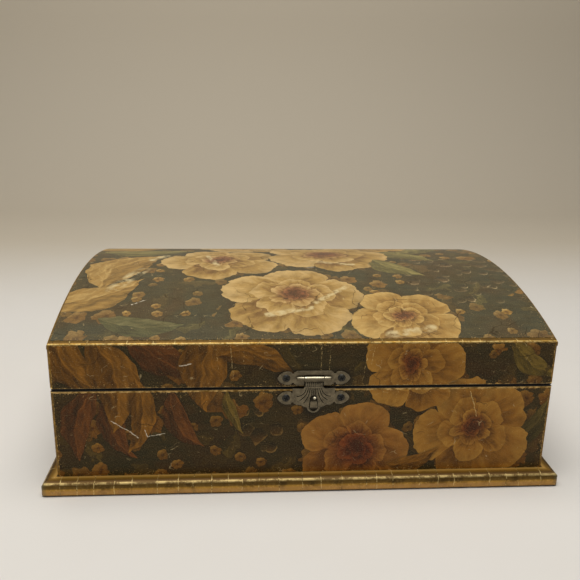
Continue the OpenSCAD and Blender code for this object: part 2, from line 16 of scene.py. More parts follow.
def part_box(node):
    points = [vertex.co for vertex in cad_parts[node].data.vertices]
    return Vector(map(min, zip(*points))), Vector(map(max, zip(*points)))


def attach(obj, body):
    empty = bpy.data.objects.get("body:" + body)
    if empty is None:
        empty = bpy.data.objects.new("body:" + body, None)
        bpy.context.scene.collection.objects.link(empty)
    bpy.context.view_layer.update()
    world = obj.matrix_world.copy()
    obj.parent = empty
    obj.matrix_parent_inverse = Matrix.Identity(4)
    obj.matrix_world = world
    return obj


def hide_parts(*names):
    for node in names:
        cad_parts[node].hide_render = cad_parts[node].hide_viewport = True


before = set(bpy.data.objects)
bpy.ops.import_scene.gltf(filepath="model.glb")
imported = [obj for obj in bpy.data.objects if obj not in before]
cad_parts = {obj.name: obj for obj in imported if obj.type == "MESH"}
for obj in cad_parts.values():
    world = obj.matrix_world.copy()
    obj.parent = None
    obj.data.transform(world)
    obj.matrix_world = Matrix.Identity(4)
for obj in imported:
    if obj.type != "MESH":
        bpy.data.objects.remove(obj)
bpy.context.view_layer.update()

LOG = logging.getLogger("trunk")
MM = 0.001

Tree = bpy.types.NodeTree
Socket = bpy.types.NodeSocket
Material = bpy.types.Material
Kind = tuple[str, dict[str, str]]

# The kinds of node in use: the type's name, with the setting that tells its job.
(PLUS, MINUS, TIMES, TIMES_PLUS, OVER, SIZE, GREATER, LESSER, ABOVE, BELOW, FLOOR, FRACTION, MODULO, ROOT, POWER_OF,
 SINE, COSINE, ANGLE) = (("ShaderNodeMath", {"operation": job}) for job in (
     "ADD", "SUBTRACT", "MULTIPLY", "MULTIPLY_ADD", "DIVIDE", "ABSOLUTE", "MAXIMUM", "MINIMUM", "GREATER_THAN",
     "LESS_THAN", "FLOOR", "FRACT", "FLOORED_MODULO", "SQRT", "LOGARITHM", "SINE", "COSINE", "ARCTAN2"))
(MOVE, AWAY, STRETCH, STRETCH_MOVE, SHRINK, SCALE, LENGTH, DOT, UNIT) = (
    ("ShaderNodeVectorMath", {"operation": job}) for job in (
        "ADD", "SUBTRACT", "MULTIPLY", "MULTIPLY_ADD", "DIVIDE", "SCALE", "LENGTH", "DOT_PRODUCT", "NORMALIZE"))
MIX, BLEND = ("ShaderNodeMix", {}), ("ShaderNodeMix", {"data_type": "RGBA"})
RANGE, EASE = ("ShaderNodeMapRange", {}), ("ShaderNodeMapRange", {"interpolation_type": "SMOOTHSTEP"})
CELLS = ("ShaderNodeTexVoronoi", {"voronoi_dimensions": "2D"})
NET = ("ShaderNodeTexVoronoi", {"voronoi_dimensions": "2D", "feature": "DISTANCE_TO_EDGE"})
STEPS = ("ShaderNodeTexVoronoi", {"voronoi_dimensions": "1D", "feature": "DISTANCE_TO_EDGE"})
DICE_1D, DICE_2D = (("ShaderNodeTexWhiteNoise", {"noise_dimensions": way}) for way in ("1D", "2D"))
PLACE = ("ShaderNodeMapping", {"vector_type": "TEXTURE"})
TURN, NOISE, SPLIT, JOIN, GROUP = ((f"ShaderNode{name}", {}) for name in (
    "Mapping", "TexNoise", "SeparateXYZ", "CombineXYZ", "Group"))


def linear(hex_code: str) -> tuple[float, float, float, float]:
    """Turns an sRGB hex colour into linear light.

    Args:
        hex_code: six hex digits after a hash.

    Returns:
        Red, green, blue and an alpha of 1.
    """
    parts = [int(hex_code[i:i + 2], 16) / 255 for i in (1, 3, 5)]
    light = [c / 12.92 if c <= 0.04045 else ((c + 0.055) / 1.055) ** 2.4 for c in parts]
    return (*light, 1.0)


def add(tree: Tree, kind: Kind | str, *values: object, out: str | None = None, **given: object) -> Socket | None:
    """Adds a node with its settings and links.

    Args:
        tree: the node tree that gets the node.
        kind: the node's kind, or its type's name.
        values: what goes into the inputs in use, in their order: a socket, a constant, a hex colour, or None to leave
            one alone.
        out: the name of the output that is wanted, if it isn't the first one in use.
        given: other settings in small letters, and inputs by name, with a capital and with underscores for spaces.

    Returns:
        The wanted output, or None for a node that has none.
    """
    name, own = (kind, {}) if isinstance(kind, str) else kind
    made = tree.nodes.new(name)
    for key, value in {**own, **given}.items():
        if key[0].islower():
            setattr(made, key, value)
    used = [s for s in made.inputs if s.enabled]
    named = [(made.inputs[key.replace("_", " ")], value) for key, value in given.items() if key[0].isupper()]
    for socket, value in [*zip(used, values), *named]:
        if isinstance(value, Socket):
            tree.links.new(value, socket)
        elif value is not None:
            socket.default_value = linear(value) if isinstance(value, str) else value
    if out is not None:
        return made.outputs[out]
    return next((s for s in made.outputs if s.enabled), None)


def unsteady(tree: Tree, place: Socket, sway: float, moved: Socket, **noise: float) -> Socket:
    """Moves a place a little, as a hand does that isn't steady.

    Args:
        tree: the node tree.
        place: the drawing's coordinates in mm, which the noise follows.
        sway: how far the hand strays, in the units of the moved place.
        moved: the place that is moved.
        noise: the noise's inputs.

    Returns:
        The moved place.
    """
    loose = add(tree, AWAY, add(tree, NOISE, place, out="Color", **noise), (0.5, 0.5, 0.5))
    return add(tree, STRETCH_MOVE, loose, (sway, sway, 0.0), moved)


def weigh(tree: Tree, start: float, *parts: tuple[Socket, float]) -> Socket:
    """Adds up parts by their weights.

    Args:
        tree: the node tree.
        start: what the sum starts from.
        parts: each part with its weight.

    Returns:
        The sum.
    """
    total = start
    for part, weight in parts:
        total = add(tree, TIMES_PLUS, part, weight, total)
    return total


class Stencil:
    """A node group that many finishes share, built once and stamped where it is needed."""

    HAIR = 1e-6

    def __init__(self, name: str, values: str, points: str = "", colours: str = "", results: str = "Colour") -> None:
        """Makes an empty group. The names of its inputs and outputs have spaces between them.

        Args:
            name: the group's name.
            values: the inputs that are numbers.
            points: the inputs that are places.
            colours: the inputs that are colours.
            results: the outputs, which are numbers but for Colour.
        """
        self.tree = bpy.data.node_groups.new(name, "ShaderNodeTree")
        for names, kind in ((values, "Float"), (points, "Vector"), (colours, "Color")):
            for label in names.split():
                self.tree.interface.new_socket(name=label, in_out="INPUT", socket_type=f"NodeSocket{kind}")
        for label in results.split():
            kind = "Color" if label == "Colour" else "Float"
            self.tree.interface.new_socket(name=label, in_out="OUTPUT", socket_type=f"NodeSocket{kind}")
        start = self.tree.nodes.new("NodeGroupInput")
        self.given = {s.name: s for s in start.outputs}

    def wait(self) -> Socket:
        """Keeps the renderer from working out all motifs at once, for which its memory of values is too small.

        Returns:
            The drawing's place, which waits for what is painted underneath and moves by no more than a hair.
        """
        return add(self.tree, STRETCH_MOVE, self.given["Under"], (self.HAIR, self.HAIR, 0.0), self.given["Plane"])

    def frame(self, plane: Socket, unit: str) -> Socket:
        """Moves, turns and scales a place into the motif's own frame.

        Args:
            plane: the drawing's place in mm.
            unit: the name of the input that is the frame's unit of length.

        Returns:
            The place in that frame.
        """
        t, g = self.tree, self.given
        turn, size = add(t, JOIN, 0.0, 0.0, g["Turn"]), add(t, JOIN, g[unit], g[unit], 1.0)
        return add(t, PLACE, plane, g["Centre"], turn, size)

    def close(self, **results: Socket) -> None:
        """Ends the group.

        Args:
            results: what goes to each of the group's outputs, by its name.
        """
        end = self.tree.nodes.new("NodeGroupOutput")
        for label, socket in results.items():
            self.tree.links.new(socket, end.inputs[label])

    def stamp(self, tree: Tree, **values: object) -> bpy.types.NodeOutputs:
        """Puts the group into a tree.

        Args:
            tree: the tree that gets it.
            values: a socket or constant for each input by name.

        Returns:
            The group's outputs by name.
        """
        return add(tree, GROUP, node_tree=self.tree, **values).node.outputs


class Face(Enum):
    """The side of the trunk that a sheet of paper covers, with the two axes of its drawing."""

    TOP = ("X", 1, "Y")
    FRONT = ("X", 1, "Z")
    BACK = ("X", -1, "Z")
    LEFT = ("Y", -1, "Z")
    RIGHT = ("Y", 1, "Z")


class Ripeness(Enum):
    """How far a bloom or leaf has turned, by its paints: edges, most of it, folds, round the heart, in the heart."""

    CREAM = ("#dfc086", "#bd9a56", "#876230", "#9a5434", "#4c2816")
    HONEY = ("#dab874", "#b8914c", "#85622c", "#96522b", "#482615")
    TAN = ("#d2aa6e", "#b0864e", "#80592c", "#984e2c", "#482215")
    STRAW = ("#d8b878", "#b08c4a", "#7c6030")
    OCHRE = ("#c2984c", "#8e6d30", "#543d18")
    RUST = ("#9c6c40", "#6c482b", "#402e1c")
    OLIVE = ("#aaa066", "#7c7645", "#4e4d2f")
    MOSS = ("#85815a", "#5b5c3a", "#3c3f29")


CREAM, HONEY, TAN, STRAW, OCHRE, RUST, OLIVE, MOSS = Ripeness


class Motif(Enum):
    """The small motifs that are strewn over the ground: their least size by their cell, and how far they fade."""

    SPRIG = (0.42, 0.75)
    BERRY = (0.24, 0.7)
    BLOSSOM = (0.21, 0.5)


@dataclass(frozen=True)
class Bloom:
    """A full round bloom of overlapping petals: its place, radius and turn in mm and degrees, its heart by its size."""

    at: tuple[float, float]
    radius: float
    turn: float
    heart: float
    paint: Ripeness


@dataclass(frozen=True)
class Leaf:
    """A pointed leaf: its place, half length and turn in mm and degrees, its bend and its width by its length."""

    at: tuple[float, float]
    reach: float
    turn: float
    bend: float
    width: float
    paint: Ripeness


@dataclass(frozen=True)
class Mark:
    """A scratch, a line of gold or a band of painted shadow: its two ends and width in mm, and the share missing."""

    start: tuple[float, float]
    end: tuple[float, float]
    width: float
    broken: float
    colour: str


@dataclass(frozen=True)
class Design:
    """What is painted on one side: scattered small motifs, leaves at the back, then blooms and leaves in front.

    Berries hang only round one place, and round another there are no blossoms, both with their reach in mm. The
    warm coat multiplied over the paint is darker on the upright sides as painted shade for the less light they get,
    and on the top a pale veil is painted as a reflection of the room in the glossy face.
    """

    back_leaves: tuple[Leaf, ...] = ()
    blooms: tuple[Bloom, ...] = ()
    front_leaves: tuple[Leaf, ...] = ()
    marks: tuple[Mark, ...] = ()
    berries_at: tuple[float, float] = (0.0, 40.0)
    berries_reach: float = 40.0
    varnish_and_shade: str = "#f8efdc"
    painted_sheen: float = 0.0
    quiet_at: tuple[float, float] = (0.0, 300.0)
    quiet_reach: float = 10.0
    blossom_cell: float = 15.5
    berry_cell: float = 10.5
    sprig_cell: float = 26.0


BACK_LIGHT = "#eadfc6"
GOLD_THREAD = "#d8b878"
SCUFF = "#d0bc8c"
# Soft dark bands round the latch plates on the front: painted shadow that the plates would cast.
LATCH_SHADOW = "#2a2214"
# The sides' coat is darker than the top's: a warm tint with painted shade, as the upright sides get less light.
SHADED_SIDE_VARNISH = "#d0b277"
SEAM_Z = 63.65  # the middle of the gap under the lid, in mm

TOP_DESIGN = Design(
    painted_sheen=0.22,
    berries_at=(112.0, -28.0),
    berries_reach=62.0,
    back_leaves=(
        Leaf((-124, -62), 34, 34, 0.3, 0.44, STRAW),
        Leaf((-120, -8), 40, 62, -0.3, 0.46, STRAW),
        Leaf((-106, 34), 34, 8, 0.3, 0.4, OLIVE),
        Leaf((-118, 66), 36, 40, 0.3, 0.44, STRAW),
        Leaf((-88, 84), 34, -16, 0.25, 0.36, OCHRE),
        Leaf((-96, -96), 26, -8, 0.2, 0.34, MOSS),
        Leaf((74, 30), 36, -24, -0.3, 0.42, OLIVE),
        Leaf((104, 62), 36, 66, 0.3, 0.36, OLIVE),
        Leaf((88, 92), 30, -10, 0.2, 0.34, MOSS),
    ),
    blooms=(
        Bloom((62, 74), 34, 20, 0.3, HONEY),
        Bloom((-34, 76), 38, 70, 0.26, CREAM),
        Bloom((-52, 6), 41, 10, 0.3, CREAM),
        Bloom((26, 26), 46, 40, 0.34, CREAM),
        Bloom((-6, -62), 45, -20, 0.3, CREAM),
        Bloom((60, -88), 33, 15, 0.26, HONEY),
    ),
    front_leaves=(
        Leaf((66, -14), 24, -52, 0.3, 0.44, OLIVE),
    ),
    marks=(
        Mark((8, -12), (11, -11), 2.4, 0.35, "#8d8a7c"),
        Mark((-118, -52), (-104, -18), 9.0, 0.44, SCUFF),
        Mark((-100, 8), (-92, 22), 6.0, 0.44, SCUFF),
        Mark((-104, -72), (-96, -66), 0.9, 0.5, BACK_LIGHT),
        Mark((-22, -84), (4, -76), 5.0, 0.44, SCUFF),
        Mark((8, -70), (30, -48), 4.0, 0.44, SCUFF),
        Mark((12, 4), (40, -4), 5.0, 0.44, SCUFF),
        Mark((-62, 22), (-54, -8), 4.0, 0.44, SCUFF),
        Mark((48, -104), (74, -98), 6.0, 0.44, SCUFF),
        Mark((-30, 60), (-12, 52), 4.0, 0.44, SCUFF),
        Mark((126, -106), (131, -98), 0.35, 0.1, "#2c2214"),
        Mark((134, -107), (137, -101), 0.35, 0.1, "#2c2214"),
    ),
)

FRONT_DESIGN = Design(
    berries_at=(-30.0, 34.0),
    berries_reach=22.0,
    quiet_at=(2.0, 84.0),
    quiet_reach=46.0,
    varnish_and_shade=SHADED_SIDE_VARNISH,
    back_leaves=(
        Leaf((-84, 82), 26, -34, 0.3, 0.4, RUST),
        Leaf((-132, 44), 24, -104, 0.3, 0.36, RUST),
        Leaf((-74, 42), 20, -64, 0.3, 0.36, RUST),
        Leaf((-112, 40), 24, -78, 0.3, 0.3, RUST),
        Leaf((-134, 78), 26, -58, 0.3, 0.44, OCHRE),
        Leaf((-108, 68), 30, -80, -0.25, 0.42, OCHRE),
        Leaf((-60, 76), 28, -98, 0.25, 0.46, OCHRE),
        Leaf((-94, 46), 24, -96, -0.3, 0.3, OCHRE),
        Leaf((-28, 84), 24, -16, -0.3, 0.3, OCHRE),
        Leaf((134, 34), 22, 50, 0.25, 0.34, MOSS),
        Leaf((-44, 48), 15, -70, 0.2, 0.24, OLIVE),
    ),
    blooms=(
        Bloom((100, 34), 36, 12, 0.3, HONEY),
        Bloom((62, 76), 30, 50, 0.3, HONEY),
        Bloom((28, 22), 33, -30, 0.46, TAN),
    ),
    front_leaves=(
        Leaf((130, 78), 20, -38, 0.25, 0.34, OLIVE),
        Leaf((66, 14), 17, 20, 0.3, 0.3, OCHRE),
    ),
    marks=(
        # The first three marks are painted shadow round the latch plates.
        Mark((-13.5, 70.2), (20.7, 70.2), 11.0, 0.0, LATCH_SHADOW),
        Mark((-13.5, 57.6), (20.7, 57.6), 9.5, 0.0, LATCH_SHADOW),
        Mark((3.6, 56), (3.6, 52), 12.0, 0.0, LATCH_SHADOW),
        Mark((-112.3, 44.3), (-97, 33.4), 0.5, 0.3, BACK_LIGHT),
        Mark((-93.3, 38.2), (-92.2, 33.9), 0.4, 0.15, BACK_LIGHT),
        Mark((-92.4, 33.9), (-82, 35.6), 0.45, 0.4, BACK_LIGHT),
        Mark((-72.8, 77.8), (-66.1, 79.0), 0.55, 0.2, BACK_LIGHT),
        Mark((7.7, 90), (7.6, 68), 0.5, 0.5, GOLD_THREAD),
        Mark((12.8, 89), (12.6, 74), 0.5, 0.55, GOLD_THREAD),
        Mark((34.7, 88), (32.0, 68), 0.45, 0.5, GOLD_THREAD),
        Mark((38.0, 88), (36.4, 78), 0.4, 0.55, GOLD_THREAD),
        Mark((-43.7, 88), (-42.4, 70), 0.45, 0.5, GOLD_THREAD),
        Mark((-52.0, 88), (-50.6, 72), 0.4, 0.6, GOLD_THREAD),
        Mark((-36.6, 86), (-36.0, 74), 0.4, 0.6, GOLD_THREAD),
        Mark((96.0, 60), (101.5, 44), 0.45, 0.3, GOLD_THREAD),
    ),
)

BACK_DESIGN = Design(
    varnish_and_shade=SHADED_SIDE_VARNISH,
    back_leaves=(
        Leaf((-116, 60), 30, -50, 0.3, 0.34, OCHRE),
        Leaf((-84, 34), 26, 200, 0.3, 0.34, RUST),
        Leaf((60, 74), 28, -20, -0.3, 0.34, OLIVE),
        Leaf((104, 40), 28, 60, 0.3, 0.34, OCHRE),
        Leaf((2, 26), 24, 160, 0.25, 0.32, MOSS),
    ),
    blooms=(
        Bloom((-46, 52), 38, 30, 0.32, HONEY),
        Bloom((26, 40), 32, 0, 0.4, TAN),
        Bloom((120, 76), 30, 60, 0.3, HONEY),
    ),
)

LEFT_DESIGN = Design(
    varnish_and_shade=SHADED_SIDE_VARNISH,
    back_leaves=(
        Leaf((-78, 74), 26, -60, 0.3, 0.34, OCHRE),
        Leaf((-40, 46), 26, -100, -0.3, 0.34, RUST),
        Leaf((86, 60), 26, 60, 0.3, 0.34, OCHRE),
        Leaf((60, 24), 22, 10, 0.3, 0.3, OLIVE),
    ),
    blooms=(
        Bloom((18, 66), 36, 24, 0.32, HONEY),
        Bloom((-84, 28), 28, -10, 0.36, TAN),
    ),
)

RIGHT_DESIGN = Design(
    varnish_and_shade=SHADED_SIDE_VARNISH,
    back_leaves=(
        Leaf((-84, 70), 26, -50, 0.3, 0.34, MOSS),
        Leaf((34, 84), 26, -10, -0.3, 0.34, OCHRE),
        Leaf((84, 34), 26, 100, 0.3, 0.34, RUST),
    ),
    blooms=(
        Bloom((-38, 52), 36, 64, 0.34, HONEY),
        Bloom((52, 34), 30, 12, 0.4, TAN),
    ),
)


class PaintBox:
    """The stencils of the painted print: petals, blooms, leaves, small motifs, and marks of wear and painted shadow."""

    PETALS = 5
    RING_RATIO = 0.6
    PETAL_REACH = 0.62
    LEAN = 0.2
    SHADE = "#2b2415"
    DULLED = "#7c5230"

    def __init__(self) -> None:
        """Builds every stencil once."""
        self.ring = self._ring()
        self.bloom = self._bloom()
        self.leaf = self._leaf()
        self.small = {motif: self._scatter(motif) for motif in Motif}
        self.mark = self._mark()

    def _ring(self) -> Stencil:
        """One ring of petals: how far a petal stands out at this angle, its own tint, and its left or right side.

        Returns:
            The stencil.
        """
        s = Stencil("petal_ring", "Ring Angle", results="Lobe Tint Side")
        t, g = s.tree, s.given
        phase = add(t, TIMES, add(t, DICE_1D, g["Ring"]), 7.0)
        turn = add(t, TIMES_PLUS, g["Angle"], self.PETALS / math.tau, phase)
        petal = add(t, MODULO, add(t, FLOOR, turn), float(self.PETALS))
        side = add(t, TIMES_PLUS, add(t, FRACTION, turn), 2.0, -1.0)
        lobe = add(t, ROOT, add(t, MINUS, 1.0, add(t, TIMES, side, side)))
        s.close(Lobe=lobe, Tint=add(t, DICE_2D, add(t, JOIN, petal, g["Ring"])), Side=side)
        return s

    def _bloom(self) -> Stencil:
        """A bloom whose rings of petals grow smaller inwards, each overlapping the one outside it.

        Returns:
            The stencil.
        """
        s = Stencil("painted_bloom", "Size Turn Heart", "Plane Centre", "Under Light Mid Deep Rust Core")
        t, g = s.tree, s.given
        plane = s.wait()
        hand = unsteady(t, plane, 0.5, s.frame(plane, "Size"), Scale=0.05, Detail=3.0, Roughness=0.6)
        inside = add(t, GREATER, add(t, MINUS, 1.0, add(t, LENGTH, hand)), 0.0)
        spot = add(t, AWAY, hand, add(t, JOIN, 0.0, add(t, TIMES, inside, self.LEAN)))
        r = add(t, LENGTH, spot)
        x, y, _ = add(t, SPLIT, spot).node.outputs
        angle = add(t, ANGLE, y, x)
        depth = add(t, POWER_OF, r, self.RING_RATIO)
        low = add(t, FLOOR, depth)
        rings = []
        for ring in (low, add(t, PLUS, low, 1.0)):
            petal = self.ring.stamp(t, Ring=ring, Angle=angle)
            edge = add(t, TIMES_PLUS, petal["Lobe"], -self.PETAL_REACH, ring)
            rings.append((add(t, MINUS, depth, edge), petal["Tint"], petal["Side"]))
        over = add(t, ABOVE, rings[1][0], 0.0)
        within, tint, side = (add(t, MIX, over, outer, inner) for outer, inner in zip(*rings))
        painted = add(t, ABOVE, add(t, PLUS, low, over), -0.5)
        rim = add(t, EASE, within, 0.0, 0.3, 1.0, 0.0)
        fold = add(t, EASE, within, 0.15, 1.25)
        way = add(t, MOVE, add(t, UNIT, spot), add(t, JOIN, 0.0, 0.0, depth))
        strokes = add(t, NOISE, add(t, STRETCH_MOVE, way, (7.0, 7.0, 1.3), g["Centre"]), Scale=1.0, Detail=3.0,
                      Roughness=0.6)
        tone = weigh(t, -0.2, (rim, 0.2), (fold, -0.5), (tint, 0.36), (side, 0.16), (strokes, 1.3))
        petal = add(t, BLEND, add(t, RANGE, tone, 0.05, 0.5), g["Deep"], g["Mid"])
        petal = add(t, BLEND, add(t, RANGE, tone, 0.5, 1.0), petal, g["Light"])
        heart = add(t, OVER, add(t, TIMES_PLUS, strokes, 0.3, r), g["Heart"])
        warm = add(t, BLEND, add(t, RANGE, tone, 0.1, 0.9), g["Core"], g["Rust"])
        petal = add(t, BLEND, add(t, EASE, heart, 2.3, 1.1, 0.0, 0.92), petal, warm)
        petal = add(t, BLEND, add(t, EASE, heart, 1.25, 0.55, 0.0, 0.8), petal, g["Core"])
        ground = add(t, BLEND, add(t, EASE, r, 1.6, 1.1, 0.0, 0.5), g["Under"], self.SHADE)
        s.close(Colour=add(t, BLEND, painted, ground, petal))
        return s

    def _leaf(self) -> Stencil:
        """A pointed, bent leaf with a midrib, side veins and one lighter half.

        Returns:
            The stencil.
        """
        s = Stencil("painted_leaf", "Reach Turn Bend Width", "Plane Centre", "Under Light Mid Deep")
        t, g = s.tree, s.given
        plane = s.wait()
        hand = unsteady(t, plane, 0.3, s.frame(plane, "Reach"), Scale=0.07, Detail=2.0)
        x, y, _ = add(t, SPLIT, hand).node.outputs
        along = add(t, TIMES, x, x)
        across = add(t, MINUS, y, add(t, TIMES, along, g["Bend"]))
        off = add(t, SIZE, across)
        body = add(t, GREATER, add(t, MINUS, 1.0, along), 0.0)
        half = add(t, TIMES, add(t, TIMES, body, add(t, TIMES_PLUS, x, -0.35, 1.0)), g["Width"])
        edge = add(t, MINUS, half, off)
        painted = add(t, ABOVE, edge, 0.0)
        rib = add(t, EASE, off, 0.03, 0.008)
        lit = add(t, EASE, across, -0.04, 0.04)
        slant = add(t, TIMES_PLUS, off, -40.0, add(t, TIMES, x, 22.0))
        vein = add(t, RANGE, add(t, SINE, slant), 0.6, 1.0)
        strokes = add(t, NOISE, add(t, STRETCH_MOVE, hand, (2.0, 9.0, 0.0), g["Centre"]), Scale=1.0, Detail=1.5)
        tone = weigh(t, -0.3, (lit, 0.3), (strokes, 1.3), (vein, 0.15), (rib, 0.3))
        colour = add(t, BLEND, add(t, RANGE, tone, 0.1, 0.55), g["Deep"], g["Mid"])
        colour = add(t, BLEND, add(t, RANGE, tone, 0.55, 1.05), colour, g["Light"])
        shade = add(t, TIMES, add(t, EASE, edge, -0.1, 0.0, 0.0, 0.4), add(t, RANGE, body, 0.0, 0.2))
        ground = add(t, BLEND, shade, g["Under"], self.SHADE)
        s.close(Colour=add(t, BLEND, painted, ground, colour))
        return s

    def _scatter(self, motif: Motif) -> Stencil:
        """Small motifs that lie one to a cell, where the cell's own chance and the place allow it.

        Args:
            motif: what lies in each cell.

        Returns:
            The stencil.
        """
        smallest, fading = motif.value
        s = Stencil(f"scattered_{motif.name.lower()}", "Cell Share Where", "Plane", "Under Light Mid Deep")
        t, g = s.tree, s.given
        plane = s.wait()
        cells = add(t, CELLS, plane, Scale=add(t, OVER, 1.0, g["Cell"]), Randomness=0.95).node.outputs
        way, odds, luck = add(t, SPLIT, cells["Color"]).node.outputs
        grow = add(t, TIMES_PLUS, add(t, TIMES, luck, luck), 0.32, smallest)
        size = add(t, OVER, 1.0, add(t, TIMES, g["Cell"], grow))
        local = add(t, SCALE, add(t, AWAY, plane, cells["Position"]), size)
        turn = add(t, TIMES, way, math.tau)
        if motif is Motif.SPRIG:
            local = add(t, TURN, local, None, add(t, JOIN, 0.0, 0.0, turn))
        hand = unsteady(t, plane, 1.1, local, Scale=0.16, Detail=2.0)
        r = add(t, LENGTH, hand)
        x, y, _ = add(t, SPLIT, hand).node.outputs
        if motif is Motif.BERRY:
            edge = add(t, MINUS, 0.95, r)
            lit = add(t, EASE, add(t, LENGTH, add(t, AWAY, hand, (-0.12, 0.22, 0.0))), 0.8, 1.1, 0.0, 0.8)
            body = add(t, RANGE, y, 0.5, -0.9, 0.0, 0.9)
        elif motif is Motif.SPRIG:
            across = add(t, SIZE, y)
            edge = add(t, MINUS, add(t, TIMES_PLUS, add(t, TIMES, x, x), -0.42, 0.42), across)
            lit = add(t, RANGE, across, 0.07, 0.02, 0.0, 0.8)
            body = add(t, RANGE, y, -0.25, 0.12)
        else:
            around = add(t, TIMES, add(t, PLUS, add(t, ANGLE, y, x), turn), 3.0)
            wave = add(t, SIZE, add(t, COSINE, around))
            edge = add(t, MINUS, add(t, TIMES_PLUS, wave, 0.14, 0.8), r)
            lit = add(t, EASE, add(t, TIMES_PLUS, y, 0.7, add(t, TIMES, x, -0.35)), 0.05, 0.6, 0.0, 0.9)
            body = add(t, TIMES, add(t, EASE, r, 0.05, 0.4), add(t, RANGE, wave, 0.05, 0.5, 0.45, 1.0))
        there = add(t, TIMES, add(t, ABOVE, edge, 0.0), add(t, BELOW, odds, g["Share"]))
        painted = add(t, TIMES, there, add(t, ABOVE, g["Where"], 0.5))
        rough = add(t, RANGE, add(t, NOISE, plane, Scale=0.6, Detail=2.0), 0.3, 0.7, 0.45, 1.1)
        colour = add(t, BLEND, add(t, TIMES, body, rough), g["Deep"], g["Mid"])
        colour = add(t, BLEND, add(t, TIMES, lit, rough), colour, g["Light"])
        dulled = add(t, BLEND, body, g["Deep"], self.DULLED)
        colour = add(t, BLEND, add(t, TIMES, luck, 0.45), colour, dulled)
        mask = add(t, TIMES, painted, add(t, TIMES_PLUS, way, -fading, 1.0))
        s.close(Colour=add(t, BLEND, mask, g["Under"], colour))
        return s

    def _mark(self) -> Stencil:
        """A scratch, scuff, line of gold or band of painted shadow between two points, broken in places.

        Returns:
            The stencil.
        """
        s = Stencil("wear_and_shadow_mark", "Width Broken", "Plane Start End", "Under Paint")
        t, g = s.tree, s.given
        plane = s.wait()
        run = add(t, AWAY, g["End"], g["Start"])
        hand = unsteady(t, plane, 2.0, plane, Scale=0.35, Detail=2.0)
        out = add(t, AWAY, hand, g["Start"])
        share = add(t, OVER, add(t, DOT, out, run), add(t, DOT, run, run), use_clamp=True)
        off = add(t, LENGTH, add(t, AWAY, out, add(t, SCALE, run, share)))
        line = add(t, RANGE, add(t, OVER, off, g["Width"]), 0.62, 0.3)
        coarse = add(t, OVER, 1.0, add(t, PLUS, g["Width"], 1.0))
        gaps = add(t, NOISE, plane, Scale=coarse, Detail=5.0, Roughness=0.6)
        level = add(t, PLUS, gaps, add(t, TIMES_PLUS, g["Broken"], -0.5, -0.2))
        mask = add(t, TIMES, line, add(t, RANGE, level, 0.0, 0.16, 0.0, 0.85))
        s.close(Colour=add(t, BLEND, mask, g["Under"], g["Paint"]))
        return s


class Finish:
    """A material under way: its tree, its coordinates in mm, its colour so far, and the shader that ends it."""

    def __init__(self, name: str, colour: str) -> None:
        """Starts a material.

        Args:
            name: what the real material is called.
            colour: its lowest coat.
        """
        self.material = bpy.data.materials.new(name)
        self.material.use_nodes = True
        self.tree = self.material.node_tree
        self.tree.nodes.clear()
        self.colour: Socket | str = colour
        self.place = add(self.tree, SCALE, add(self.tree, "ShaderNodeTexCoord", out="Object"), 1 / MM)
        self.parts = add(self.tree, SPLIT, self.place).node.outputs

    def lay(self, paint: Socket | str, *masks: Socket | float) -> Socket | float:
        """Lays a paint over the colour so far.

        Args:
            paint: the paint.
            masks: how thick it lies, from 0 to 1, in one or more factors.

        Returns:
            The factors' product.
        """
        mask = masks[0]
        for factor in masks[1:]:
            mask = add(self.tree, TIMES, mask, factor)
        self.colour = add(self.tree, BLEND, mask, self.colour, paint)
        return mask

    def cloud(self, paint: str, low: float, high: float, most: float = 1.0,
              stretch: tuple[float, float, float] | None = None, **noise: float) -> None:
        """Lays a paint over the colour so far in cloudy patches.

        Args:
            paint: the paint.
            low: the noise at which a patch starts.
            high: the noise at which it is thickest.
            most: how thick that is, from 0 to 1.
            stretch: by how much the noise is finer along each axis, if not by its scale alone.
            noise: the noise's inputs.
        """
        t = self.tree
        place = self.place if stretch is None else add(t, STRETCH, self.place, stretch)
        self.lay(paint, add(t, RANGE, add(t, NOISE, place, **noise), low, high, 0.0, most))

    def close(self, height: Socket | None = None, lift: float = 0.0, **inputs: object) -> Material:
        """Ends the material with its shader.

        Args:
            height: the relief, from 0 to 1, or None for a smooth face.
            lift: the height of that relief in mm.
            inputs: the shader's inputs besides its colour.

        Returns:
            The material.
        """
        if height is not None:
            inputs["Normal"] = add(self.tree, "ShaderNodeBump", Height=height, Distance=lift * MM, Strength=1.0)
        shader = add(self.tree, "ShaderNodeBsdfPrincipled", Base_Color=self.colour, **inputs)
        add(self.tree, "ShaderNodeOutputMaterial", Surface=shader)
        return self.material


@dataclass(frozen=True)
class VarnishedPrint:
    """Printed paper glued to board and varnished: dull shine, a net of hair cracks, gilt lapped over its margins.

    The small motifs have a light, a middle and a deep paint; the pale veil is a painted reflection for the top.
    The laps are how far the gilt ends inside a sheet's edge, in mm, and a negative one reaches furthest in.
    """

    ground: str = "#3e3820"
    ground_blue: str = "#363a2c"
    ground_brown: str = "#483418"
    brushed: str = "#6e623c"
    sprig: tuple[str, str, str] = ("#8a8250", "#666138", "#3e3c25")
    berry: tuple[str, str, str] = ("#e0cfa6", "#85744a", "#353124")
    blossom: tuple[str, str, str] = ("#e0c07a", "#b08a42", "#644423")
    grime_and_shade: str = "#3b2c16"
    grain: str = "#e2cf9d"
    crack: str = "#30220f"
    painted_sheen: str = "#6f6858"
    scratch: str = "#c4ad7c"
    gold: str = "#d6b272"
    gold_dark: str = "#7a5c2a"
    roughness: float = 0.4
    gloss: float = 0.16
    crack_cell_mm: float = 24.0
    thin_lap: float = 0.45
    top_lap: float = 0.6
    wide_lap: float = -0.25


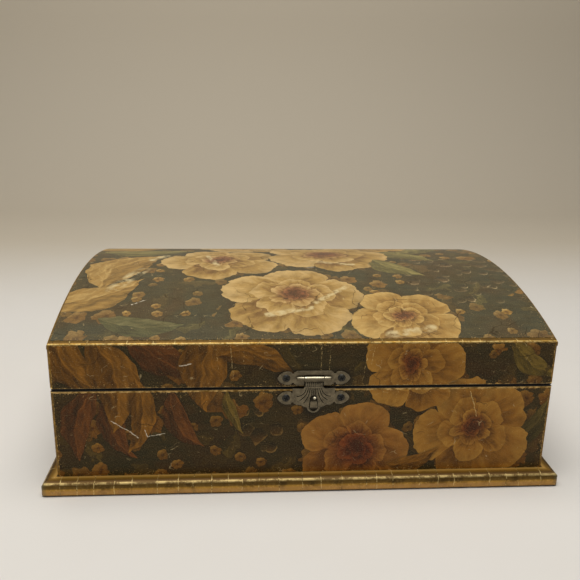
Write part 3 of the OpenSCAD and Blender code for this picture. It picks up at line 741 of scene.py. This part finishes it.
class PrintedSheet(Finish):
    """The material of one sheet under way: painted, aged, varnished and lapped with gilt."""

    PAINTS = ("Light", "Mid", "Deep", "Rust", "Core")

    def __init__(self, look: VarnishedPrint, paints: PaintBox, face: Face, design: Design, sheet: str) -> None:
        """Starts the material, in the coordinates of the side's drawing.

        Args:
            look: the finish.
            paints: the stencils of the print.
            face: the side that the sheet covers.
            design: what is painted there.
            sheet: the sheet's node.
        """
        super().__init__(f"Varnished print, {sheet.replace('_', ' ')}", look.ground)
        self.look, self.paints, self.design = look, paints, design
        self.axis, sign, self.up = face.value
        self.low, self.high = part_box(sheet)
        aside = add(self.tree, TIMES, self.parts[self.axis], float(sign))
        self.place = add(self.tree, JOIN, aside, self.parts[self.up])

    def build(self) -> Material:
        """Paints the sheet coat by coat.

        Returns:
            The finished material.
        """
        look, paints, design = self.look, self.paints, self.design
        self.cloud(look.ground_blue, 0.42, 0.58, Scale=0.02, Detail=2.0)
        self.cloud(look.ground_brown, 0.5, 0.66, 0.8, Scale=0.031, Detail=3.0, Distortion=0.6)
        self.cloud(look.brushed, 0.35, 0.8, 0.35, (0.07, 0.3, 0.0), Scale=1.0, Detail=4.0, Distortion=1.2)
        self._small()
        self._leaves(design.back_leaves)
        for bloom in design.blooms:
            size = bloom.radius * paints.RING_RATIO ** paints.PETAL_REACH
            self._stamp(paints.bloom, bloom.paint.value, Centre=(*bloom.at, 0.0), Turn=math.radians(bloom.turn),
                        Heart=bloom.heart, Size=size)
        self._leaves(design.front_leaves)
        # A warm tint over all, darker on the sides as painted shade; on the top a pale veil as a painted reflection.
        self.colour = add(self.tree, BLEND, 1.0, self.colour, design.varnish_and_shade, blend_type="MULTIPLY")
        self.lay(look.painted_sheen, design.painted_sheen)
        cracks = self._age()
        for mark in design.marks:
            self._stamp(paints.mark, Start=(*mark.start, 0.0), End=(*mark.end, 0.0), Width=mark.width,
                        Broken=mark.broken, Paint=mark.colour)
        return self._varnish(cracks)

    def _stamp(self, stencil: Stencil, tones: tuple[str, ...] = (), **values: object) -> None:
        """Stamps a motif over the colour so far.

        Args:
            stencil: the motif.
            tones: its paints, the lightest first.
            values: its other inputs.
        """
        self.colour = stencil.stamp(self.tree, Plane=self.place, Under=self.colour, **dict(zip(self.PAINTS, tones)),
                                    **values)["Colour"]

    def _leaves(self, leaves: tuple[Leaf, ...]) -> None:
        """Stamps leaves, the last one on top.

        Args:
            leaves: the leaves.
        """
        for leaf in leaves:
            self._stamp(self.paints.leaf, leaf.paint.value, Centre=(*leaf.at, 0.0), Reach=leaf.reach,
                        Turn=math.radians(leaf.turn), Bend=leaf.bend, Width=leaf.width)

    def _small(self) -> None:
        """Strews sprigs, berries and blossoms, each where the design has them."""
        t, look, design = self.tree, self.look, self.design
        patch = add(t, NOISE, add(t, MOVE, self.place, (31.0, 7.0, 0.0)), Scale=0.019, Detail=1.0)
        patch = add(t, PLUS, patch, 0.16)
        # The last of the two places is the berries' own.
        for at, reach in ((design.quiet_at, design.quiet_reach), (design.berries_at, design.berries_reach)):
            away = add(t, LENGTH, add(t, AWAY, self.place, (*at, 0.0)))
            near = add(t, RANGE, away, reach, 0.5 * reach, 0.3, 0.7)
            patch = add(t, LESSER, patch, add(t, MINUS, 1.1, near))
        for motif, tones, cell, share, where in (
                (Motif.SPRIG, look.sprig, design.sprig_cell, 0.8, 1.0),
                (Motif.BERRY, look.berry, design.berry_cell, 0.75, near),
                (Motif.BLOSSOM, look.blossom, design.blossom_cell, 0.85, patch)):
            self._stamp(self.paints.small[motif], tones, Cell=cell, Share=share, Where=where)

    def _age(self) -> Socket:
        """Adds grimy clouds, a net of hair cracks and a few fine scratches.

        Returns:
            The cracks from 0 to 1.
        """
        t, look, place = self.tree, self.look, self.place
        self.cloud(look.grime_and_shade, 0.42, 0.7, 0.34, Scale=0.11, Detail=5.0, Roughness=0.65)
        self.cloud(look.grain, 0.45, 0.75, 0.08, Scale=1.4, Detail=3.0)
        loose = add(t, NOISE, place, Scale=0.06, Detail=3.0, out="Color")
        bent = add(t, STRETCH_MOVE, loose, (22.0, 22.0, 0.0), place)
        net = add(t, NET, bent, Scale=1 / look.crack_cell_mm, Randomness=1.0)
        patches = add(t, RANGE, add(t, NOISE, place, Scale=0.035, Detail=2.0), 0.5, 0.58)
        cracks = add(t, TIMES, add(t, RANGE, net, 0.016, 0.006), patches)
        self.lay(look.crack, cracks, 0.62)
        fine = add(t, NET, add(t, STRETCH, bent, (0.06, 0.17, 0.0)), Scale=1.0, Randomness=1.0)
        chosen = add(t, RANGE, add(t, NOISE, place, Scale=0.16, Detail=3.0), 0.6, 0.66, 0.0, 0.55)
        self.lay(look.scratch, add(t, RANGE, fine, 0.026, 0.008), chosen)
        return cracks

    def _border(self) -> Socket:
        """Finds how far inside the gilt's line a place lies. The gilt laps furthest over the case's upper edges.

        Returns:
            The distance from that line in mm.
        """
        t, look, ways = self.tree, self.look, []
        side = look.thin_lap if self.up == "Z" else look.top_lap
        upper = look.wide_lap if self.up == "Z" and self.high.z / MM < SEAM_Z else side
        for name, spare in ((self.axis, side), (self.up, upper)):
            i = "XYZ".index(name)
            start, stop = self.low[i] / MM - side, self.high[i] / MM + spare
            off = add(t, SIZE, add(t, MINUS, self.parts[name], (start + stop) / 2))
            ways.append(add(t, MINUS, (stop - start) / 2, off))
        return add(t, LESSER, *ways)

    def _varnish(self, cracks: Socket) -> Material:
        """Laps gilt over the margins, with gold dust near them, and adds the shine of the varnished face.

        Args:
            cracks: the cracks from 0 to 1.

        Returns:
            The finished material.
        """
        t, look, place, border = self.tree, self.look, self.place, self._border()
        ragged = add(t, NOISE, place, Scale=0.5, Detail=4.0, Roughness=0.7)
        lap = add(t, RANGE, add(t, TIMES_PLUS, ragged, -2.4, border), -0.55, -0.75, 0.0, 0.9)
        dust = add(t, NOISE, place, Scale=1.1, Detail=2.0)
        near = add(t, RANGE, border, 7.0, 0.0, 0.0, 0.1)
        specks = add(t, RANGE, add(t, PLUS, dust, near), 0.7, 0.74, 0.0, 0.7)
        gilt = add(t, GREATER, lap, specks)
        rub = add(t, RANGE, add(t, NOISE, place, Scale=0.35, Detail=3.0), 0.4, 0.62)
        self.lay(add(t, BLEND, rub, look.gold_dark, look.gold), gilt)
        shine = add(t, TIMES_PLUS, ragged, 0.18, look.roughness - 0.09)
        relief = add(t, TIMES_PLUS, gilt, 0.6, add(t, TIMES_PLUS, cracks, -0.8, ragged))
        return self.close(relief, 0.016, Metallic=add(t, TIMES, gilt, 0.6), Roughness=shine,
                          Specular_IOR_Level=look.gloss)


@dataclass(frozen=True)
class BronzeGilt:
    """Gold bronze paint on board: warm metallic shine, fine cross lines where the gilding cracked, and painted shade
    in corners.

    The level arrises along the seam, the eave and the plinth are picked out by the heights at which their lines end.
    Those along the seam and the eave get a painted highlight on their outer edge.
    """

    gold: str = "#b68a32"
    gold_light: str = "#d6aa58"
    gold_dark: str = "#765612"
    rubbed: str = "#6f6a4c"
    shaded_top: str = "#86621e"
    shaded_round: str = "#5a3f12"
    foot_reflection: str = "#c09258"
    grime_and_shade: str = "#2b1e06"
    margin: str = "#584017"
    lid_skin_mm: float = 2.8
    inside_paint: str = "#35281b"
    inside_rubbed: str = "#574430"
    rub_and_highlight: str = "#f4d890"
    soot_and_shadow: str = "#060402"
    metallic: float = 0.6
    roughness: float = 0.5
    line_cell_mm: float = 11.0
    seam_line: tuple[float, float] = (1.8, 1.4)
    eave_line: tuple[float, float] = (90.5, 90.9)
    plinth_line: tuple[float, float] = (9.1, 9.5)

    def dress(self, name: str, wall: tuple[float, float], inner: tuple[float, float],
              inner_arc: tuple[float, float], lines: float) -> Material:
        """Makes the gilt of the boards or the plinth.

        Args:
            name: the material's name.
            wall: the case's half width and half depth in mm, against which grime gathers on the plinth.
            inner: half width and half depth of the painted inside in mm.
            inner_arc: height of the lid arc's centre, and the radius of the lid's underside, in mm.
            lines: how strongly the cross lines show, from 0 to 1.

        Returns:
            The material.
        """
        f = Finish(name, self.gold_dark)
        t, (x, y, z) = f.tree, f.parts
        wide, deep = add(t, SIZE, x), add(t, SIZE, y)
        out_x, out_y = add(t, MINUS, wide, wall[0]), add(t, MINUS, deep, wall[1])
        off = add(t, GREATER, out_x, out_y)
        inward = add(t, TIMES, off, -1.0)
        f.cloud(self.gold, 0.35, 0.55, Scale=0.12, Detail=4.0, Roughness=0.6)
        f.cloud(self.gold_light, 0.5, 0.68, 0.75, Scale=0.6, Detail=3.0, Roughness=0.7)
        f.cloud(self.rubbed, 0.62, 0.68, 0.6, Scale=0.2, Detail=5.0, Roughness=0.7)
        self._moulding(f, off)
        reach = add(t, LENGTH, add(t, JOIN, 0.0, y, add(t, MINUS, z, inner_arc[0])))
        f.lay(self.margin, add(t, RANGE, inward, 0.35, 0.9, 0.0, 0.8),
              add(t, ABOVE, reach, inner_arc[1] + self.lid_skin_mm))
        gap = add(t, SIZE, add(t, MINUS, z, SEAM_Z))
        level = add(t, GREATER, add(t, RANGE, gap, *self.seam_line), add(t, RANGE, z, *self.eave_line))
        flecks = add(t, NOISE, f.place, Scale=0.4, Detail=4.0, Roughness=0.7)
        f.lay(self.margin, add(t, MINUS, 1.0, level), add(t, RANGE, z, *self.plinth_line, 0.0, 0.75),
              add(t, RANGE, flecks, 0.65, 0.45, 0.3, 1.0))
        # A painted highlight on the outer half mm of the arrises along the seam and the eave.
        f.lay(self.rub_and_highlight, add(t, RANGE, inward, 0.5, 0.2, 0.0, 0.95), level,
              add(t, RANGE, flecks, 0.4, 0.56, 0.12, 1.0))
        f.lay(self.rubbed, add(t, RANGE, add(t, LESSER, out_x, out_y), 4.5, 7.5),
              add(t, RANGE, flecks, 0.4, 0.5, 0.3, 0.85))
        tint = add(t, BLEND, add(t, RANGE, flecks, 0.44, 0.52), self.grime_and_shade, self.rub_and_highlight)
        run = add(t, MIX, add(t, ABOVE, out_y, out_x), y, x)
        shown = f.lay(tint, self._cross_lines(f, run), lines)
        in_x, in_y = add(t, BELOW, wide, inner[0] + 0.06), add(t, BELOW, deep, inner[1] + 0.06)
        inside = add(t, TIMES, add(t, TIMES, in_x, in_y), add(t, BELOW, reach, inner_arc[1] + 0.12))
        inside = add(t, GREATER, inside, add(t, BELOW, gap, 0.3))
        streak = add(t, NOISE, add(t, STRETCH, f.place, (0.05, 0.05, 0.5)), Scale=1.0, Detail=4.0)
        paint = add(t, BLEND, add(t, RANGE, streak, 0.4, 0.75, 0.0, 0.5), self.inside_paint, self.inside_rubbed)
        f.lay(paint, inside)
        # Painted shadow in the gap under the lid, over the outer 1.8 mm of the boards.
        seam = f.lay(self.soot_and_shadow, add(t, RANGE, gap, 1.0, 0.84), add(t, RANGE, inward, 1.8, 0.8))
        inside = add(t, GREATER, inside, seam)
        grit = add(t, NOISE, f.place, Scale=0.9, Detail=4.0, Roughness=0.6)
        shine = add(t, TIMES_PLUS, grit, 0.2, self.roughness - 0.1)
        return f.close(add(t, TIMES_PLUS, shown, -0.7, grit), 0.09, Metallic=add(t, MIX, inside, self.metallic, 0.0),
                       Roughness=add(t, MIX, inside, shine, 0.75))

    def _moulding(self, f: Finish, off: Socket) -> None:
        """The plinth's tones: painted shade on top, a rubbed arris with a painted highlight, painted shade under it,
        a lighter, redder lower face as a painted reflection of the floor, and painted shade against the wall and floor.

        Args:
            f: the material under way, which stays as it is above the plinth.
            off: the distance outwards from the case's wall in mm.
        """
        t, height = f.tree, f.parts["Z"]
        rest = add(t, RANGE, height, 9.4, 9.2)
        rough = add(t, NOISE, f.place, Scale=0.22, Detail=4.0, Roughness=0.65)
        slope = add(t, PLUS, off, height)
        # Painted shade on the plinth's top and round, darkest just before the arris.
        shade = add(t, BLEND, add(t, RANGE, slope, 12.8, 14.0), self.shaded_top, self.shaded_round)
        f.lay(shade, add(t, RANGE, slope, 11.5, 13.6, 0.65, 1.0), rest, add(t, RANGE, off, 7.8, 7.2))
        f.lay(self.gold_light, add(t, RANGE, off, 3.0, 1.6, 0.0, 0.8), rest)
        # Painted shade where the plinth meets the wall.
        f.lay(self.grime_and_shade, add(t, RANGE, off, 0.7, 0.3, 0.0, 0.9), rest)
        # A painted highlight along the arris, where the gilt is also rubbed.
        f.lay(self.rub_and_highlight, add(t, RANGE, slope, 14.48, 14.62, 0.0, 0.6), rest,
              add(t, RANGE, rough, 0.42, 0.58, 0.1, 1.0))
        side = add(t, TIMES, add(t, RANGE, off, 6.4, 7.2, 0.0, 0.7), rest)
        # Painted shade in a band under the arris, then a lighter, redder lower face: the floor's painted reflection.
        f.lay(self.grime_and_shade, add(t, RANGE, add(t, SIZE, add(t, MINUS, height, 6.1)), 1.5, 0.6), side)
        f.lay(self.foot_reflection, add(t, RANGE, height, 4.6, 3.4), side, add(t, RANGE, rough, 0.35, 0.6, 0.55, 1.0))
        # Painted shade along the bottom, where the plinth meets the floor.
        f.lay(self.grime_and_shade, add(t, RANGE, height, 1.5, 0.7, 0.0, 0.75))

    def _cross_lines(self, f: Finish, run: Socket) -> Socket:
        """Lines across the moulding, at uneven steps along it.

        Args:
            f: the material under way.
            run: the distance along the moulding in mm.

        Returns:
            The lines from 0 to 1.
        """
        t = f.tree
        place = add(t, TIMES_PLUS, add(t, NOISE, f.place, Scale=0.25, Detail=1.0), 1.4, run)
        steps = add(t, STEPS, place, Scale=1 / self.line_cell_mm, Randomness=1.0)
        gaps = add(t, NOISE, f.place, Scale=0.3, Detail=1.0)
        return add(t, TIMES, add(t, RANGE, steps, 0.028, 0.012), add(t, RANGE, gaps, 0.36, 0.46))


@dataclass(frozen=True)
class AntiquedBronze:
    """Stamped brass, browned to look like old bronze: grey brown, with rubbed metal on edges, roll and bill that
    also gives painted highlights, and painted shadow over the roll and round the bill.
    """

    patina: str = "#81755c"
    patina_dark: str = "#5a503d"
    rub_and_highlight: str = "#fbf0cf"
    soot_and_shadow: str = "#0d0b08"
    roughness: float = 0.46
    edge_mm: float = 0.14
    bead_z: float = 66.6
    bead_half_h: float = 1.75
    barrel_top: float = 71.22
    barrel_y: float = -111.2
    bill_top: tuple[float, float] = (55.8, 56.8)
    bill_foot: tuple[float, float] = (53.0, 52.2)

    def dress(self, name: str, face_y: float, groove: float, highlight_at: tuple[float, float, float],
              highlight_span: tuple[float, float, float],
              hollow: tuple[float, float, float] | None = None) -> Material:
        """Makes the bronze of one pressing.

        Args:
            name: the material's name.
            face_y: the pressing's front plane in mm; what lies deeper than it in a groove is sooty.
            groove: the depth of its grooves in mm, 0 for none.
            highlight_at: the middle of the place that is rubbed and has a painted highlight, in mm.
            highlight_span: how far that place reaches each way, in mm.
            hollow: middle, half width and top of a hollow in the face that gets painted shadow, in mm, or None.

        Returns:
            The material.
        """
        f = Finish(name, self.patina_dark)
        t, (x, y, z) = f.tree, f.parts
        f.cloud(self.patina, 0.35, 0.65, Scale=0.35, Detail=5.0, Roughness=0.65)
        soft = add(t, "ShaderNodeBevel", self.edge_mm * MM, samples=6)
        hard = add(t, "ShaderNodeNewGeometry", out="Normal")
        edge = add(t, RANGE, add(t, DOT, soft, hard), 0.995, 0.86, 0.0, 0.4)
        away = add(t, SHRINK, add(t, AWAY, f.place, highlight_at), highlight_span)
        polish_and_highlight = add(t, RANGE, add(t, LENGTH, away), 1.15, 0.75)
        uneven = add(t, NOISE, f.place, Scale=1.2, Detail=3.0)
        # Rubbed metal on the edges and round the given place, which also stands as a painted highlight.
        worn_and_highlit = f.lay(self.rub_and_highlight, add(t, GREATER, edge, polish_and_highlight), add(t, RANGE, uneven, 0.25, 0.6, 0.5, 1.0))
        # A band of painted shadow just above the roll.
        black = f.lay(self.soot_and_shadow, add(t, RANGE, z, self.barrel_top, self.barrel_top + 0.2, 0.0, 0.9),
                      add(t, BELOW, y, self.barrel_y))
        if groove > 0:
            row = add(t, SIZE, add(t, MINUS, z, self.bead_z))
            beads = add(t, TIMES, add(t, RANGE, row, self.bead_half_h, self.bead_half_h - 0.2, 0.0, 0.85),
                        add(t, RANGE, y, face_y - 0.16, face_y - 0.06))
            sunk = add(t, RANGE, y, face_y + 0.15 * groove, face_y + 0.7 * groove)
            sunk = f.lay(self.soot_and_shadow, add(t, GREATER, sunk, beads), add(t, BELOW, y, face_y + 1.2 * groove))
            black = add(t, GREATER, black, sunk)
        # Painted shadow in the slot round the bill and on the bill's upper and lower ends, but not on its highlight.
        if hollow is not None:
            middle, half, top = hollow
            side = add(t, SIZE, add(t, MINUS, x, middle))
            within = add(t, TIMES, add(t, RANGE, side, half, half - 0.2), add(t, RANGE, z, top, top - 0.2))
            flat = add(t, TIMES, within, add(t, RANGE, y, face_y - 0.3, face_y - 0.05))
            ends = add(t, GREATER, *(add(t, RANGE, z, *span, 0.0, 0.85) for span in (self.bill_top, self.bill_foot)))
            ends = add(t, TIMES, ends, add(t, MINUS, 1.0, polish_and_highlight))
            bill = add(t, TIMES, ends, add(t, BELOW, y, face_y - 0.3))
            black = add(t, GREATER, black, f.lay(self.soot_and_shadow, add(t, GREATER, flat, bill)))
        metal = add(t, TIMES_PLUS, black, -0.5, 0.5)
        return f.close(add(t, NOISE, f.place, Scale=2.2, Detail=4.0), 0.03, Metallic=metal, Specular_IOR_Level=metal,
                       Roughness=add(t, TIMES_PLUS, worn_and_highlit, -0.2, self.roughness))


@dataclass(frozen=True)
class PlainMetal:
    """Small ironmongery: steel that was blackened, or drawn brass that has dulled."""

    base: str
    cloud: str
    metallic: float
    roughness: float
    recess_shade: str = "#050505"

    def dress(self, name: str, recess: tuple[float, float, float, float, float] | None = None) -> Material:
        """Makes the metal.

        Args:
            name: the material's name.
            recess: for screws in rows, the middle and the half pitch sideways, the middle and the half pitch upwards,
            and the plane behind which the driver's recess gets painted shade, in mm.

        Returns:
            The material.
        """
        f = Finish(name, self.base)
        t, (x, y, z) = f.tree, f.parts
        drift = add(t, NOISE, f.place, Scale=0.5, Detail=5.0, Roughness=0.7)
        f.lay(self.cloud, add(t, RANGE, drift, 0.4, 0.68))
        if recess is not None:
            ways = [add(t, MINUS, add(t, SIZE, add(t, MINUS, way, middle)), half)
                    for way, middle, half in ((x, *recess[:2]), (z, *recess[2:4]))]
            # Painted shade in the drivers' recesses.
            f.lay(self.recess_shade, add(t, RANGE, add(t, LENGTH, add(t, JOIN, *ways)), 1.5, 1.3),
                  add(t, RANGE, y, recess[4] - 0.1, recess[4] + 0.05))
        return f.close(add(t, NOISE, f.place, Scale=3.0, Detail=3.0), 0.02, Metallic=self.metallic,
                       Roughness=add(t, TIMES_PLUS, drift, 0.25, self.roughness - 0.12))


@dataclass(frozen=True)
class WoolFelt:
    """Pressed wool felt: matt, mottled, with short fibres in every direction that catch the light."""

    base: str = "#3a4032"
    light: str = "#5b6250"
    fibre_mm: float = 0.5

    def dress(self, name: str) -> Material:
        """Makes the felt.

        Args:
            name: the material's name.

        Returns:
            The material.
        """
        f = Finish(name, self.base)
        t = f.tree
        swirl = add(t, NOISE, f.place, Scale=0.5, Detail=2.0, out="Color")
        bent = add(t, STRETCH_MOVE, swirl, (2.0, 2.0, 0.0), f.place)
        fibres = add(t, NOISE, bent, Scale=1 / self.fibre_mm, Detail=3.0, Distortion=2.0)
        cloud = add(t, NOISE, f.place, Scale=0.08, Detail=3.0)
        tone = add(t, TIMES_PLUS, cloud, 0.6, add(t, TIMES, fibres, 0.6))
        f.lay(self.light, add(t, RANGE, tone, 0.45, 0.78))
        return f.close(fibres, 0.15, Roughness=0.95, Sheen_Weight=0.5, Sheen_Roughness=0.5)


def dress(material: Material, *pieces: bpy.types.Object) -> None:
    """Gives pieces one material all over.

    Args:
        material: the material.
        pieces: the objects that get it.
    """
    for piece in pieces:
        piece.data.materials.clear()
        piece.data.materials.append(material)
        LOG.info("dressed %s", piece.name)


def nodes(*names: str) -> list[bpy.types.Object]:
    """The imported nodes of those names."""
    return [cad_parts[name] for name in names]


def put(name: str, data: bpy.types.ID) -> bpy.types.Object:
    """Puts a mesh, lamp or camera into the scene, at the origin.

    Args:
        name: the object's name.
        data: the mesh, lamp or camera.

    Returns:
        The object.
    """
    made = bpy.data.objects.new(name, data)
    bpy.context.scene.collection.objects.link(made)
    return made


@dataclass
class Boards:
    """The boards of plinth, case and lid, gilded outside and painted inside: sizes in mm, strengths from 0 to 1."""

    half_width: float = 145.0
    half_depth: float = 110.0
    board: float = 9.0
    arc_centre: float = -247.7
    under_radius: float = 353.3
    plinth_lines: float = 0.6
    wall_lines: float = 0.5
    plinth: tuple[str, ...] = ("plinth_board",)
    walls: tuple[str, ...] = ("case_front", "case_back", "case_left", "case_right", "lid_front_rail",
                              "lid_back_rail", "lid_left_end", "lid_right_end", "lid_top_panel")
    gilt: BronzeGilt = field(default_factory=BronzeGilt)

    def build(self) -> None:
        """Dresses every board."""
        wall = (self.half_width, self.half_depth)
        inner = (self.half_width - self.board, self.half_depth - self.board)
        arc = (self.arc_centre, self.under_radius)
        for names, label, lines in ((self.plinth, "Bronze gilt on the plinth", self.plinth_lines),
                                    (self.walls, "Bronze gilt on the boards", self.wall_lines)):
            dress(self.gilt.dress(label, wall, inner, arc, lines), *nodes(*names))


@dataclass
class Papers:
    """The printed papers of all sides, each with its own part of the design."""

    print_: VarnishedPrint = field(default_factory=VarnishedPrint)
    sides: dict[Face, tuple[Design, tuple[str, ...]]] = field(default_factory=lambda: {
        Face.TOP: (TOP_DESIGN, ("lid_top_print",)),
        Face.FRONT: (FRONT_DESIGN, ("case_front_print", "lid_front_print")),
        Face.BACK: (BACK_DESIGN, ("case_back_print", "lid_back_print")),
        Face.LEFT: (LEFT_DESIGN, ("case_left_print", "lid_left_print")),
        Face.RIGHT: (RIGHT_DESIGN, ("case_right_print", "lid_right_print")),
    })

    def build(self) -> None:
        """Dresses every sheet."""
        paints = PaintBox()
        for face, (design, names) in self.sides.items():
            for name in names:
                dress(PrintedSheet(self.print_, paints, face, design, name).build(), *nodes(name))


@dataclass
class Latch:
    """The two stamped plates, the hasp with its pin, and their four screws: places in mm."""

    plate_face: float = -111.0
    hasp_face: float = -112.22
    flute: float = 0.3
    # The roll and the brow are where the bronze is rubbed and gets a painted highlight; the hollow gets painted shadow.
    barrel: tuple[float, float, float] = (3.6, -113.1, 71.0)
    barrel_span: tuple[float, float, float] = (10.2, 1.0, 0.55)
    brow: tuple[float, float, float] = (4.1, -113.0, 58.3)
    brow_span: tuple[float, float, float] = (0.9, 0.9, 0.8)
    hollow: tuple[float, float, float] = (3.6, 3.1, 60.4)
    screws: tuple[float, float, float, float, float] = (3.6, 15.9, 63.75, 6.15, -111.72)
    bronze: AntiquedBronze = field(default_factory=AntiquedBronze)
    steel: PlainMetal = PlainMetal("#2a2a2a", "#46433a", 0.5, 0.42)

    def build(self) -> None:
        """Dresses the pieces of the latch."""
        make, roll = self.bronze.dress, (self.barrel, self.barrel_span)
        catch = make("Antiqued bronze catch", self.plate_face, 0.0, self.brow, self.brow_span, self.hollow)
        dress(catch, *nodes("catch_plate"))
        dress(make("Antiqued bronze plate", self.plate_face, 0.0, *roll), *nodes("hasp_plate"))
        dress(make("Antiqued bronze hasp", self.hasp_face, self.flute, *roll), *nodes("hasp", "hasp_pin"))
        dress(self.steel.dress("Blackened steel screw", self.screws), *nodes("catch_plate_screws", "hasp_plate_screws"))


@dataclass
class Hinges:
    """The two butt hinges at the back with their pins and screws."""

    brass: PlainMetal = PlainMetal("#8c7346", "#5a482a", 0.9, 0.46)
    names: tuple[str, ...] = ("left_hinge_case_leaf", "right_hinge_case_leaf", "left_hinge_lid_leaf",
                              "right_hinge_lid_leaf", "left_hinge_pin", "right_hinge_pin", "case_hinge_screws",
                              "lid_hinge_screws")

    def build(self) -> None:
        """Dresses the hinges."""
        dress(self.brass.dress("Dulled brass hinge"), *nodes(*self.names))


@dataclass
class Lining:
    """The felt-covered card on the floor, its edges rolled and its face gently crowned: sizes in mm."""

    roll: float = 0.6
    crown: float = 0.5
    cells: int = 60
    felt: WoolFelt = field(default_factory=WoolFelt)

    def build(self) -> None:
        """Models the card in place of its plain solid."""
        low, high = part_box("floor_lining")
        size, middle = high - low, (high + low) / 2
        bpy.ops.object.select_all(action="DESELECT")
        bpy.ops.mesh.primitive_cube_add(size=1, location=middle, scale=size)
        card = bpy.context.object
        card.name = "felt_card"
        bpy.ops.object.transform_apply(location=True, rotation=True, scale=True)
        bpy.ops.object.mode_set(mode="EDIT")
        bpy.ops.mesh.select_all(action="SELECT")
        bpy.ops.mesh.subdivide(number_cuts=self.cells)
        bpy.ops.object.mode_set(mode="OBJECT")
        crown = self.crown * MM
        for v in card.data.vertices:
            if v.co.z > middle.z:
                across = abs(v.co.x - middle.x) / (size.x / 2)
                along = abs(v.co.y - middle.y) / (size.y / 2)
                v.co.z -= crown * max(across, along) ** 6
        bevel = card.modifiers.new("rolled edge", "BEVEL")
        bevel.width, bevel.segments, bevel.limit_method = self.roll * MM, 3, "ANGLE"
        bpy.ops.object.modifier_apply(modifier=bevel.name)
        bpy.ops.object.shade_smooth_by_angle(angle=math.radians(40))
        dress(self.felt.dress("Wool felt on card"), card)
        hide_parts("floor_lining")
        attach(card, "case")
        LOG.info("modelled %s", card.name)


@dataclass(frozen=True)
class Lamp:
    """A square soft lamp: its place, what it points at and its side in metres, and its power in watts."""

    name: str
    at: tuple[float, float, float]
    aim: tuple[float, float, float]
    side: float
    power: float


@dataclass
class Studio:
    """A plain pale floor that sweeps up into a backdrop, soft lamps, and the camera: metres, degrees, and mm of lens.

    A wide soft lamp hangs overhead, a weaker one stands at the front left, and even light comes from all round.
    """

    floor_half: float = 2.4
    floor_front: float = 6.0
    sweep_y: float = 0.75
    sweep_radius: float = 0.35
    wall_height: float = 2.2
    floor_paper: str = "#e0ddd8"
    wall_paper: str = "#cbc1af"
    glow: str = "#f2eee6"
    glow_strength: float = 0.12
    lamp_tint: tuple[float, float, float] = (1.0, 0.98, 0.945)
    lamps: tuple[Lamp, ...] = (Lamp("overhead", (-0.08, -0.22, 1.35), (0, -0.05, 0.05), 1.1, 19.8),
                               Lamp("front_fill", (-1.0, -1.5, 1.0), (0, 0, 0.05), 1.0, 0.6))
    camera_at: tuple[float, float, float] = (-0.03764, -0.47702, 0.23337)
    yaw: float = 4.137
    pitch: float = 16.8
    roll: float = 1.0889
    lens: float = 43.39
    sensor: float = 36.0

    def build(self) -> None:
        """Makes the stage, the lamps and the camera."""
        self._sweep()
        self._lamps()
        self._camera()

    def _sweep(self) -> None:
        """One sheet: floor, quarter round and wall."""
        turns = [math.radians(a) for a in range(0, 91, 6)]
        profile = [(-self.floor_front, 0.0)]
        profile += [(self.sweep_y + self.sweep_radius * math.sin(a), self.sweep_radius * (1 - math.cos(a)))
                    for a in turns]
        profile.append((self.sweep_y + self.sweep_radius, self.wall_height))
        corners = [(x, y, z) for x in (-self.floor_half, self.floor_half) for y, z in profile]
        n = len(profile)
        mesh = bpy.data.meshes.new("sweep")
        mesh.from_pydata(corners, [], [(i, n + i, n + i + 1, i + 1) for i in range(n - 1)])
        for face in mesh.polygons:
            face.use_smooth = True
        # Uncoated paper from a roll: no shine, and a little uneven where the pulp shows.
        f = Finish("Matt white paper", self.floor_paper)
        back = add(f.tree, EASE, f.parts["Y"], 160.0, 620.0)
        pulp = add(f.tree, NOISE, f.place, Scale=0.02, Detail=2.0)
        f.lay(self.wall_paper, add(f.tree, TIMES_PLUS, pulp, 0.1, back))
        sweep = put("sweep", mesh)
        dress(f.close(Roughness=0.8), sweep)

    def _lamps(self) -> None:
        """The lamps, and the even light from all round."""
        for each in self.lamps:
            lamp = bpy.data.lights.new(each.name, "AREA")
            lamp.shape, lamp.size, lamp.energy, lamp.color = "SQUARE", each.side, each.power, self.lamp_tint
            turn = (Vector(each.aim) - Vector(each.at)).to_track_quat("-Z", "Y").to_matrix().to_4x4()
            put(each.name, lamp).matrix_world = Matrix.Translation(each.at) @ turn
        world = bpy.data.worlds.new("Even room light")
        world.use_nodes = True
        world.node_tree.nodes.clear()
        glow = add(world.node_tree, "ShaderNodeBackground", self.glow, self.glow_strength)
        add(world.node_tree, "ShaderNodeOutputWorld", Surface=glow)
        bpy.context.scene.world = world

    def _camera(self) -> None:
        """The camera where the photographer stood."""
        yaw, pitch, roll = (math.radians(a) for a in (self.yaw, self.pitch, self.roll))
        ahead = Vector((math.sin(yaw) * math.cos(pitch), math.cos(yaw) * math.cos(pitch), -math.sin(pitch)))
        right = Vector((math.cos(yaw), -math.sin(yaw), 0.0))
        up = right.cross(ahead)
        side = math.cos(roll) * right + math.sin(roll) * up
        top = -math.sin(roll) * right + math.cos(roll) * up
        lens = bpy.data.cameras.new("camera")
        lens.lens, lens.sensor_width, lens.sensor_fit = self.lens, self.sensor, "HORIZONTAL"
        lens.clip_start, lens.clip_end = 0.01, 20.0
        camera = put("camera", lens)
        turn = Matrix((side, top, -ahead)).transposed().to_4x4()
        camera.matrix_world = Matrix.Translation(self.camera_at) @ turn
        bpy.context.scene.camera = camera


def main() -> None:
    """Builds the looks, from the stage to the smallest piece."""
    logging.basicConfig(level=logging.INFO, format="%(message)s")
    scene = bpy.context.scene
    scene.view_settings.view_transform = "Standard"
    for part in (Studio(), Boards(), Papers(), Latch(), Hinges(), Lining()):
        part.build()
        LOG.info("built %s", type(part).__name__)


if __name__ == "__main__":
    main()
